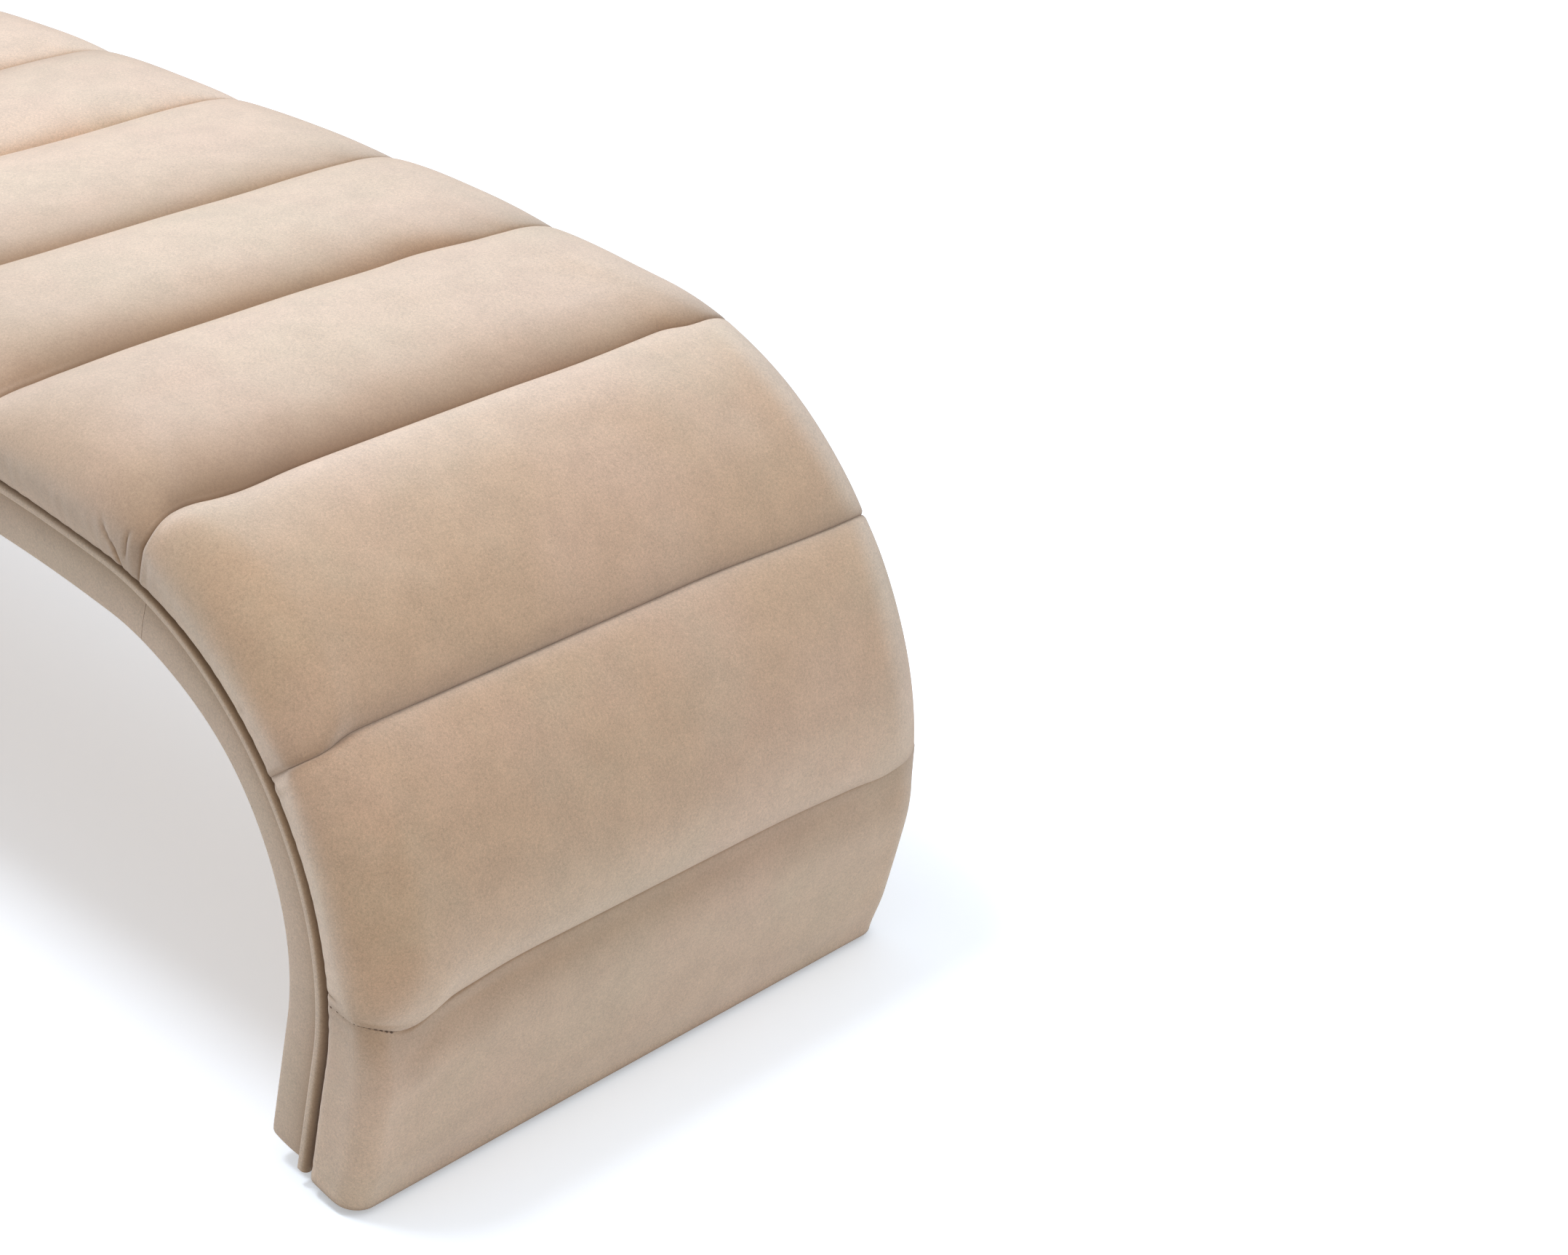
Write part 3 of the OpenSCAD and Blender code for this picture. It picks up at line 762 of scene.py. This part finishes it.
# What is left of the seat's bands toward the far welt and toward the near one, where the whole
# side is darkened by a painted shade instead
FAR_SHARE = 0.55
NEAR_SHARE = 0.35
NEAR_SHADE = 0.28
# Where these three set in on the way across, from the near welt at -1 to the far one at 1
FAR_SHARE_V = (0.75, -0.5)
NEAR_SHARE_V = (-0.3, -0.6)
NEAR_SHADE_V = (-0.1, -0.75)
# Parts of a section over which a flat seam's painted shade line ends, and over which the tuck
# becomes all painted shade
LINE_END = (0.36, 0.44)
TUCK_SHADE = (mix(ROLL_T, 1.0, 0.5), mix(ROLL_T, 1.0, 0.8))
# Painted shade in the grooves of the gathers, for each metre of a gather's depth. How even a
# foot panel looks from every side, and the parts of its height, downwards from its seam, over
# which it gets so
GATHER_SHADE = 260
FOOT_EVEN = 0.7
FOOT_EVENS = (1.0, 0.75)


def fading(band, off):
    """Strength of a band at a distance off its edge."""
    strength, width = band
    return strength * math.exp(-off / width)


def channel_shade(low, high, v, seat):
    """Painted shade of a channel, low metres above its lower seam and high below its upper one."""
    strength = mix(LEG_SHADE[0], SEAT_SHADE[0], seat)
    strength *= mix(1.0, mix(FAR_SHARE, 1.0, ease(*FAR_SHARE_V, v)), seat)
    strength *= mix(1.0, NEAR_SHARE, seat * ease(*NEAR_SHARE_V, v))
    shade = fading((strength, mix(LEG_SHADE[1], SEAT_SHADE[1], seat)), low)
    return shade if seat else shade + fading(UNDER_SHADE, high)


def painted_shade_at(i, u, v, s):
    """How much shade is painted: on each channel's lower side, along its seams and by the welts."""
    width = FOOT_PANEL if is_foot(i) else CHANNEL_W
    low = width * (u if i < CHANNELS / 2 else 1 - u)
    high = width - low
    seat = ease(*PILE_SPAN, from_foot(s))
    fold = fading(FOOT_SHADE, high) if is_foot(i) else channel_shade(low, high, v, seat)
    line = fading(SEAM_SHADE, min(low, high))
    if is_sewn_flat(i, u):
        line *= 1 - ease(*LINE_END, abs(v))
    tuck = ease(*TUCK_SHADE, abs(v))
    return min(1.0, fold + line + tuck + NEAR_SHADE * seat * ease(*NEAR_SHADE_V, v))


def point_values(piece, name):
    return piece.data.attributes.new(name, "FLOAT", "POINT")


def channel_grid(i):
    """A sheet of cells over channel i, close together beside its seams."""
    across = GATHERED_ACROSS if i in GATHERED else ACROSS
    bpy.ops.mesh.primitive_grid_add(x_subdivisions=across, y_subdivisions=2 * HALF_CELLS, size=2)
    piece = started(f"cover_{i + 1:02d}")
    painted_shade = point_values(piece, "painted_shade")
    even = point_values(piece, "even")
    for k, vertex in enumerate(piece.data.vertices):
        u = (vertex.co.x + 1) / 2
        v = vertex.co.y
        u = mix(u, 0.5 - 0.5 * math.cos(math.pi * u), CROWDING)
        s, y, h = cover_point(i, u, v)
        # Painted shade in the gathers' grooves, added to the cover's painted shade
        crease_shade = GATHER_SHADE * max(0.0, gathered(from_foot(s), h)) * ease(FLAT_T, ROLL_T, abs(v))
        painted_shade.data[k].value = min(1.0, painted_shade_at(i, u, v, s) + crease_shade)
        if is_foot(i):
            even.data[k].value = FOOT_EVEN * ease(*FOOT_EVENS, from_floor(i, u))
        vertex.co = on_arch(s, y, h)
    return piece


# The velvet settles for this many steps, and no point of it moves farther than this, in metres
SETTLING_STEPS = 10
MOST_SETTLING = 0.0015


def held_copy(piece):
    """A copy of a cover, held along its four edges."""
    twin = copy_of(piece, piece.name + "_settling")
    pins = twin.vertex_groups.new(name="pins")
    bm = bmesh.new()
    bm.from_mesh(twin.data)
    held = [v.index for v in bm.verts if v.is_boundary]
    bm.free()
    pins.add(held, 1.0, "REPLACE")
    return twin


def settle_velvet(pieces):
    """Lets the velvet of all channels settle over its wadding, held along every seam and welt."""
    only(*[held_copy(piece) for piece in pieces])
    bpy.ops.object.join()
    whole = bpy.context.object
    before = [v.co.copy() for v in whole.data.vertices]
    cloth = whole.modifiers.new("Cloth", "CLOTH")
    settings = cloth.settings
    settings.quality = 6
    settings.mass = 0.35
    settings.tension_stiffness = 18
    settings.compression_stiffness = 6
    settings.shear_stiffness = 6
    settings.bending_stiffness = 8
    settings.vertex_group_mass = "pins"
    settings.use_pressure = True
    settings.uniform_pressure_force = 0.6
    settings.effector_weights.gravity = 0
    cloth.collision_settings.use_collision = False
    cloth.collision_settings.use_self_collision = False
    scene = bpy.context.scene
    for step in range(SETTLING_STEPS):
        scene.frame_set(step + 1)
    settled = whole.evaluated_get(bpy.context.evaluated_depsgraph_get())
    after = [v.co.copy() for v in settled.data.vertices]
    scene.frame_set(1)
    bpy.data.objects.remove(whole)
    start = 0
    for piece in pieces:
        for k, vertex in enumerate(piece.data.vertices):
            move = after[start + k] - before[start + k]
            if move.length > MOST_SETTLING:
                move *= MOST_SETTLING / move.length
            vertex.co += move
        start += len(piece.data.vertices)


def close_cover(piece):
    """Smooths a cover and gives the velvet its thickness."""
    finish_with(piece, "SUBSURF", levels=1, render_levels=1)
    finish_with(piece, "SOLIDIFY", thickness=CLOTH, offset=-1.0)
    smooth(piece)


covers = [channel_grid(i) for i in range(CHANNELS)]
settle_velvet(covers)
for i, piece in enumerate(covers):
    close_cover(piece)
    dress(piece, VELVET, "velvet_cover", f"channel_cover_{i + 1:02d}")


# Stitches of a seam's end: their number, the parts of the section's girth they run between, and
# each one's radius, length in radii, part of that girth on either side, and stand over the cover
STITCHES = 15
STITCH_RUN = (0.42, 0.95)
STITCH_R = 0.0007
STITCH_STRETCH = 1.9
STITCH_T = 0.004
STITCH_OUT = 0.0022


def stitch_ends():
    """Both ends of every stitch."""
    ends = []
    for i, u in ((0, 1.0), (CHANNELS - 1, 0.0)):
        for side in (NEAR, FAR):
            for k in range(STITCHES):
                t = mix(*STITCH_RUN, k / (STITCHES - 1))
                out = STITCH_OUT * ease(FLAT_T, ROLL_T, t)
                for end in (t - STITCH_T, t + STITCH_T):
                    s, y, h = cover_point(i, u, side * end)
                    ends.append(on_arch(s, y + side * out, h + STITCH_OUT - out))
    return zip(ends[::2], ends[1::2])


def seam_thread():
    """The stitches that show where the seam over each foot runs out to the welts."""
    bpy.ops.mesh.primitive_uv_sphere_add(segments=8, ring_count=6, radius=STITCH_R)
    piece = started("seam_thread")
    single = bmesh.new()
    single.from_mesh(piece.data)
    every = bmesh.new()
    for a, b in stitch_ends():
        turn = (b - a).normalized().to_track_quat("X", "Y").to_matrix().to_4x4()
        longer = Matrix.Diagonal((STITCH_STRETCH, 1.0, 1.0, 1.0))
        stitch = single.copy()
        bmesh.ops.transform(stitch, matrix=Matrix.Translation((a + b) / 2) @ turn @ longer,
                            verts=stitch.verts)
        stitch.to_mesh(piece.data)
        every.from_mesh(piece.data)
        stitch.free()
    every.to_mesh(piece.data)
    every.free()
    single.free()
    smooth(piece)
    dress(piece, THREAD, "velvet_cover")


seam_thread()


# Welts, bands and lining: a section swept up the leg, round the corner and along the seat

# How far below the floor a sweep starts, and its steps on the leg, the corner, the shoulder and
# the level part of the seat
BELOW = 0.03
LEG_STEPS = 6
CORNER_STEPS = 64
SHOULDER_STEPS = 24
SEAT_STEPS = 8
LEG_UP = Vector((math.sin(LEAN), 0, math.cos(LEAN)))
LEG_OUT = Vector((math.cos(LEAN), 0, -math.sin(LEAN)))
FOOT_NORMAL = Vector((math.sin(FOOT_CUT), 0, math.cos(FOOT_CUT)))
# By how much strips sink along the seat, and over which arc lengths: the welt, the whole band,
# and the band's inner edge
WELT_SINK = (0.004, 0.6, 0.85)
BAND_SINK = (0.003, 0.6, 0.85)
EDGE_SINK = (0.0048, 0.34, 0.5)
# The welt's ring of cells, the ridge of its stitching, the length that it stands out below the
# foot's slope, and its painted shade toward the cover, from a height in radii up to another
WELT_CELLS = 28
RIDGE = 0.001
RIDGE_AT = math.radians(132)
RIDGE_W = 0.3
WELT_END = 0.003
WELT_SHADE = 0.7
WELT_SHADE_H = (-0.2, 1.0)
# The band's cells, the fullness of its two edges, its rounding, half the gap at its join, the
# radius of its corner at the floor, and the painted shade on it beside the welt
BAND_CELLS = 24
BAND_EDGE = 0.35
BAND_ROUNDING = 0.4
HALF_GAP = 0.0002
BAND_CORNER_R = 0.0045
BAND_SHADE = (0.42, 0.009)
# How near the plane of the leg's end a point has to be to belong to it
ON_END = 0.0001
# Edges sharper than this stay sharp, in degrees
STRIP_ANGLE = 50


def below_floor(depth, y):
    """Where the leg's layer at a depth starts, a little below the floor."""
    foot = Vector((FOOT_X, 0, BASE)) - LEG_UP * BELOW - LEG_OUT * depth
    foot.y = y
    return foot


def extrude(step, count):
    for _ in range(count):
        bpy.ops.mesh.extrude_region_move(TRANSFORM_OT_translate={"value": step})


def spin(centre, angle, count):
    bpy.ops.mesh.spin(steps=count, angle=angle, center=(centre[0], 0, centre[1]), axis=(0, 1, 0))


def sweep_half():
    """Carries the selected ring of a section from below the floor to the middle of the seat."""
    extrude(LEG_UP * (LEG_LEN + BELOW) / LEG_STEPS, LEG_STEPS)
    spin(CORNER_C, CORNER_TURN, CORNER_STEPS)
    spin(SHOULDER_C, math.pi / 2 + CORNER_END, SHOULDER_STEPS)
    extrude(Vector((-SHOULDER_C[0] / SEAT_STEPS, 0, 0)), SEAT_STEPS)
    object_mode()


def cut_foot(piece, low=0.0, fill=True):
    """Cuts a swept piece on the slope of the leg's end, or the length low below it."""
    edit_all(piece)
    bpy.ops.mesh.bisect(plane_co=on_arch(-low, 0, 0), plane_no=FOOT_NORMAL, use_fill=fill,
                        clear_inner=True)
    object_mode()


def face_outwards(piece):
    edit_all(piece)
    bpy.ops.mesh.remove_doubles(threshold=0.00002)
    bpy.ops.mesh.normals_make_consistent(inside=False)
    object_mode()


def mirror_over(piece):
    """Adds the left half to a swept right one."""
    finish_with(piece, "MIRROR", use_axis=(True, False, False), use_clip=True, merge_threshold=0.0002)
    face_outwards(piece)


def section_ring(name, points, depth, y):
    """A closed ring of points, (outwards, across), standing square to the leg below the floor."""
    foot = below_floor(depth, y)
    bpy.ops.mesh.primitive_circle_add(vertices=len(points), radius=0.01)
    piece = started(name)
    for vertex, (h, dy) in zip(piece.data.vertices, points):
        vertex.co = foot + LEG_OUT * h + Vector((0, dy, 0))
    edit_all(piece)
    return piece


def place_of(point):
    """Arc length from the nearer foot, and height over the seam line, of a point of the arch."""
    x, z = abs(point.x), point.z
    s = (x - FOOT_X) * math.sin(LEAN) + (z - BASE) * math.cos(LEAN)
    if s < LEG_LEN:
        return s, (x - FOOT_X) * math.cos(LEAN) - (z - BASE) * math.sin(LEAN)
    angle = math.atan2(CORNER_C[1] - z, x - CORNER_C[0])
    if angle > CORNER_END:
        return (LEG_LEN + CORNER_R * (LEAN - angle),
                math.hypot(x - CORNER_C[0], z - CORNER_C[1]) - CORNER_R)
    if x > SHOULDER_C[0]:
        angle = math.atan2(SHOULDER_C[1] - z, x - SHOULDER_C[0])
        return (SHOULDER_S + SHOULDER_R * (CORNER_END - angle),
                math.hypot(x - SHOULDER_C[0], z - SHOULDER_C[1]) - SHOULDER_R)
    return SEAT_S + SHOULDER_C[0] - x, z - SEAM_TOP


def sink(piece, amount, start, end, top=0.0):
    """Lowers a swept strip by amount, more and more from arc length start to end. If the depth of
    its top is given, the top stays and its inner edge alone goes all the way."""
    for vertex in piece.data.vertices:
        s, h = place_of(vertex.co)
        a = lean(s)
        part = min(1.0, max(0.0, (-top - h) / (ARCH_D - top))) if top else 1.0
        vertex.co -= Vector((math.cos(a), 0, -math.sin(a))) * amount * part * ease(start, end, s)


def welt(name, side):
    """Piping cord in its velvet: round, with the ridge of its stitching toward the band."""
    ring = []
    for k in range(WELT_CELLS):
        a = 2 * math.pi * k / WELT_CELLS
        r = WELT_R + RIDGE * hump(a if side == FAR else 2 * math.pi - a, RIDGE_AT, RIDGE_W)
        ring.append((r * math.cos(a), r * math.sin(a)))
    piece = section_ring(f"{name}_cord", ring, WELT_D, side * WELT_Y)
    sweep_half()
    sink(piece, *WELT_SINK)
    cut_foot(piece, WELT_END)
    mirror_over(piece)
    # Painted shade on the cord's side toward the cover, where it lies in the cover's shadow
    painted_shade = point_values(piece, "painted_shade")
    for k, vertex in enumerate(piece.data.vertices):
        up = (place_of(vertex.co)[1] + WELT_D) / WELT_R
        painted_shade.data[k].value = WELT_SHADE * ease(*WELT_SHADE_H, up)
    smooth(piece, STRIP_ANGLE)
    dress(piece, VELVET_WELT, "velvet_welt", name)


def band_ring(side):
    """Section of a side band: its outer face is a little full between its two edges."""
    deep = ARCH_D - BAND_TOP
    thick = BAND_Y - RIB_Y
    ring = []
    for k in range(BAND_CELLS + 1):
        f = k / BAND_CELLS
        full = math.sin(math.pi * f) ** BAND_ROUNDING
        ring.append((-deep * f, side * thick * mix(BAND_EDGE, 1.0, full)))
    return ring + [(-deep, 0.0), (0.0, 0.0)]


def cut_across(piece, s, keep_low):
    """Cuts a swept strip square at arc length s of the right half, and keeps one side of it."""
    a = lean(s)
    along = Vector((math.sin(a), 0, math.cos(a)))
    at = on_arch(s, 0, 0) - along * (HALF_GAP if keep_low else -HALF_GAP)
    edit_all(piece)
    bpy.ops.mesh.bisect(plane_co=at, plane_no=along, use_fill=True,
                        clear_inner=not keep_low, clear_outer=keep_low)
    object_mode()


def flip_over(piece):
    """Turns a right piece into a left one."""
    piece.data.transform(Matrix.Scale(-1, 4, (1, 0, 0)))
    face_outwards(piece)


def round_end(piece):
    """Rounds the corner where a band's inner edge meets the leg's end."""
    foot = on_arch(0, 0, 0)
    for vertex in piece.data.vertices:
        if abs((vertex.co - foot - Vector((0, vertex.co.y, 0))).dot(FOOT_NORMAL)) < ON_END:
            inside = BAND_CORNER_R - (place_of(vertex.co)[1] + ARCH_D)
            if inside > 0:
                rise = BAND_CORNER_R - math.sqrt(max(0.0, BAND_CORNER_R ** 2 - inside ** 2))
                vertex.co += LEG_UP * rise


def bands(word, side):
    """One side's band: a long piece over the top, and one up each leg."""
    piece = section_ring(f"{word}_band_low", band_ring(side), BAND_TOP, side * RIB_Y)
    sweep_half()
    sink(piece, *EDGE_SINK, top=BAND_TOP)
    sink(piece, *BAND_SINK)
    face_outwards(piece)
    top = copy_of(piece, f"{word}_band_over")
    cut_across(top, BAND_JOIN, False)
    mirror_over(top)
    cut_foot(piece)
    round_end(piece)
    cut_across(piece, BAND_JOIN, True)
    face_outwards(piece)
    left = copy_of(piece, f"{word}_band_low_left")
    flip_over(left)
    # Painted shade on each band piece, darkest beside the welt under the cover's overhang
    for p, end in ((piece, "right"), (top, "top"), (left, "left")):
        painted_shade = point_values(p, "painted_shade")
        for k, vertex in enumerate(p.data.vertices):
            painted_shade.data[k].value = fading(BAND_SHADE, -place_of(vertex.co)[1] - BAND_TOP)
        smooth(p, STRIP_ANGLE)
        dress(p, VELVET_BAND, "velvet_band", f"{word}_band_{end}")


welt("front_welt", NEAR)
welt("rear_welt", FAR)
bands("front", NEAR)
bands("rear", FAR)

LINING_CELLS = 24
LINING_CLOTH = 0.0013


def lining():
    """Velvet stretched flat under the arch."""
    foot = below_floor(ARCH_D, 0)
    bpy.ops.mesh.primitive_plane_add(size=1)
    piece = started("lining_cloth")
    bm = bmesh.new()
    row = [bm.verts.new(foot + Vector((0, LINING_Y * (2 * k / LINING_CELLS - 1), 0)))
           for k in range(LINING_CELLS + 1)]
    for a, b in zip(row, row[1:]):
        bm.edges.new((a, b))
    bm.to_mesh(piece.data)
    bm.free()
    edit_all(piece)
    sweep_half()
    cut_foot(piece, fill=False)
    mirror_over(piece)
    finish_with(piece, "SOLIDIFY", thickness=LINING_CLOTH, offset=0.0)
    face_outwards(piece)
    smooth(piece, STRIP_ANGLE)
    dress(piece, VELVET_LINING, "velvet_lining", "underside_lining")


lining()

# The foot cloths: how far inside the leg's outline and below its end they lie, their thickness,
# the height of their waves, how these run along and across, and the angle in degrees that keeps
# their edges sharp
FOOT_INSET = 0.004
FOOT_BELOW = 0.0006
FOOT_CLOTH_T = 0.0008
FOOT_WAVE = 0.00012
FOOT_WAVES = (32, 4)
FOOT_ANGLE = 40


def foot_cloth(side, flip):
    """Cloth tacked flat over a leg's sloping end."""
    outer = on_arch(-FOOT_BELOW, 0, -FOOT_INSET)
    inner = on_arch(-FOOT_BELOW, 0, FOOT_INSET - ARCH_D)
    half = BAND_Y - FOOT_INSET
    bpy.ops.mesh.primitive_grid_add(x_subdivisions=16, y_subdivisions=80, size=2)
    piece = started(f"foot_cloth_{side}_piece")
    for v in piece.data.vertices:
        at = outer.lerp(inner, (v.co.x + 1) / 2)
        wave = FOOT_WAVE * math.sin(FOOT_WAVES[0] * v.co.y + 3) * math.sin(FOOT_WAVES[1] * v.co.x)
        v.co = Vector((flip * at.x, v.co.y * half, at.z + wave))
    finish_with(piece, "SOLIDIFY", thickness=FOOT_CLOTH_T, offset=0.0)
    face_outwards(piece)
    smooth(piece, FOOT_ANGLE)
    dress(piece, FOOT_CLOTH, "foot_cloth", f"foot_cloth_{side}")


foot_cloth("left", -1)
foot_cloth("right", 1)

# The frame, foam and fastenings keep the model's own shapes, with their real finishes
FINISH = {"plywood": PLYWOOD, "softwood": SOFTWOOD, "zinc_steel": ZINC, "glide_plastic": NYLON,
          "foam": FOAM, "backing_cloth": BACKING}
for part in frame["record"]["subparts"]:
    finish = FINISH.get(part["material_slot"])
    if finish:
        node = frame["nodes"][part["node"]]
        node.data.materials.clear()
        node.data.materials.append(finish)


# Studio

LIGHT_TINT = (0.97, 1.0, 1.08)
# The paper's glow and its own colour, as the camera sees it and as it lights the bench
PAPER_SEEN = (0.36, (0.88, 0.95, 1.0, 1))
PAPER_LIT = (0.28, (0.64, 0.61, 0.57, 1))
# The sky's strength at the horizon and overhead, and how much it gains toward the back
SKY_LOW = 0.08
SKY_HIGH = 1.1
SKY_BACK = 0.4


def choose_shader(tree, which, no, yes):
    """The shader yes where which is 1, and no where it is 0."""
    node = tree.nodes.new("ShaderNodeMixShader")
    for k, socket in enumerate((which, no, yes)):
        tree.links.new(socket, node.inputs[k])
    return node.outputs[0]


def paper(tree, glow, colour):
    """A shader of a matt colour that glows a little."""
    both = tree.nodes.new("ShaderNodeAddShader")
    light = add(tree, "Emission", Color=(1, 1, 1, 1), Strength=glow)
    tree.links.new(light.outputs[0], both.inputs[0])
    tree.links.new(add(tree, "BsdfDiffuse", Color=colour).outputs[0], both.inputs[1])
    return both.outputs[0]


def studio_floor():
    """A wide sheet of white paper."""
    bpy.ops.mesh.primitive_plane_add(size=60, location=(0, 0, 0))
    floor = started("studio_floor")
    material = bpy.data.materials.new("studio_floor")
    material.use_nodes = True
    tree = material.node_tree
    tree.nodes.clear()
    out = tree.nodes.new("ShaderNodeOutputMaterial")
    path = tree.nodes.new("ShaderNodeLightPath")
    surface = choose_shader(tree, path.outputs["Is Camera Ray"], paper(tree, *PAPER_LIT),
                            paper(tree, *PAPER_SEEN))
    tree.links.new(surface, out.inputs["Surface"])
    floor.data.materials.append(material)


def studio_world():
    """A soft sky lights the bench; the camera, reflections and glass see plain white."""
    world = bpy.data.worlds.new("studio_world")
    bpy.context.scene.world = world
    world.use_nodes = True
    tree = world.node_tree
    tree.nodes.clear()
    out = tree.nodes.new("ShaderNodeOutputWorld")
    way = tree.nodes.new("ShaderNodeSeparateXYZ")
    tree.links.new(add(tree, "TexCoord").outputs["Generated"], way.inputs[0])
    soft = add(tree, "Background", Color=(*LIGHT_TINT, 1))
    strength = plus(tree, times(tree, way.outputs["Y"], SKY_BACK), SKY_HIGH)
    overhead = times(tree, math_node(tree, "POWER", way.outputs["Z"], 2.0), strength)
    tree.links.new(plus(tree, overhead, SKY_LOW), soft.inputs["Strength"])
    white = add(tree, "Background", Color=(1, 1, 1, 1), Strength=1.0)
    path = tree.nodes.new("ShaderNodeLightPath")
    clear = math_node(tree, "MAXIMUM", path.outputs["Is Glossy Ray"], path.outputs["Is Transmission Ray"])
    seen = math_node(tree, "MAXIMUM", path.outputs["Is Camera Ray"], clear)
    surface = choose_shader(tree, seen, soft.outputs[0], white.outputs[0])
    tree.links.new(surface, out.inputs["Surface"])


def lamp(name, place, target, size, power):
    light = bpy.data.lights.new(name, "AREA")
    light.shape = "DISK"
    light.size = size
    light.energy = power
    light.color = LIGHT_TINT
    holder = bpy.data.objects.new(name, light)
    bpy.context.scene.collection.objects.link(holder)
    holder.location = place
    holder.rotation_euler = (Vector(target) - Vector(place)).to_track_quat("-Z", "Y").to_euler()


studio_floor()
studio_world()
lamp("key_lamp", place=(0.3, -0.68, 2.9), target=(0.3, -0.2, 0.2), size=0.6, power=23)
lamp("back_lamp", place=(-1.55, -0.36, 2.55), target=(0.4, 0.0, 0.3), size=0.9, power=27)
lamp("end_lamp", place=(2.6, 0.5, 1.1), target=(0.6, 0.0, 0.2), size=1.2, power=6)

eye = bpy.data.cameras.new("photo_camera")
eye.lens = 77.14
eye.sensor_width = 36
camera = bpy.data.objects.new("photo_camera", eye)
bpy.context.scene.collection.objects.link(camera)
camera.location = (2.1099, -1.2605, 1.3106)
camera.rotation_euler = (math.radians(62.62), 0, math.radians(44.92))
bpy.context.scene.camera = camera
bpy.context.scene.view_settings.view_transform = "Standard"
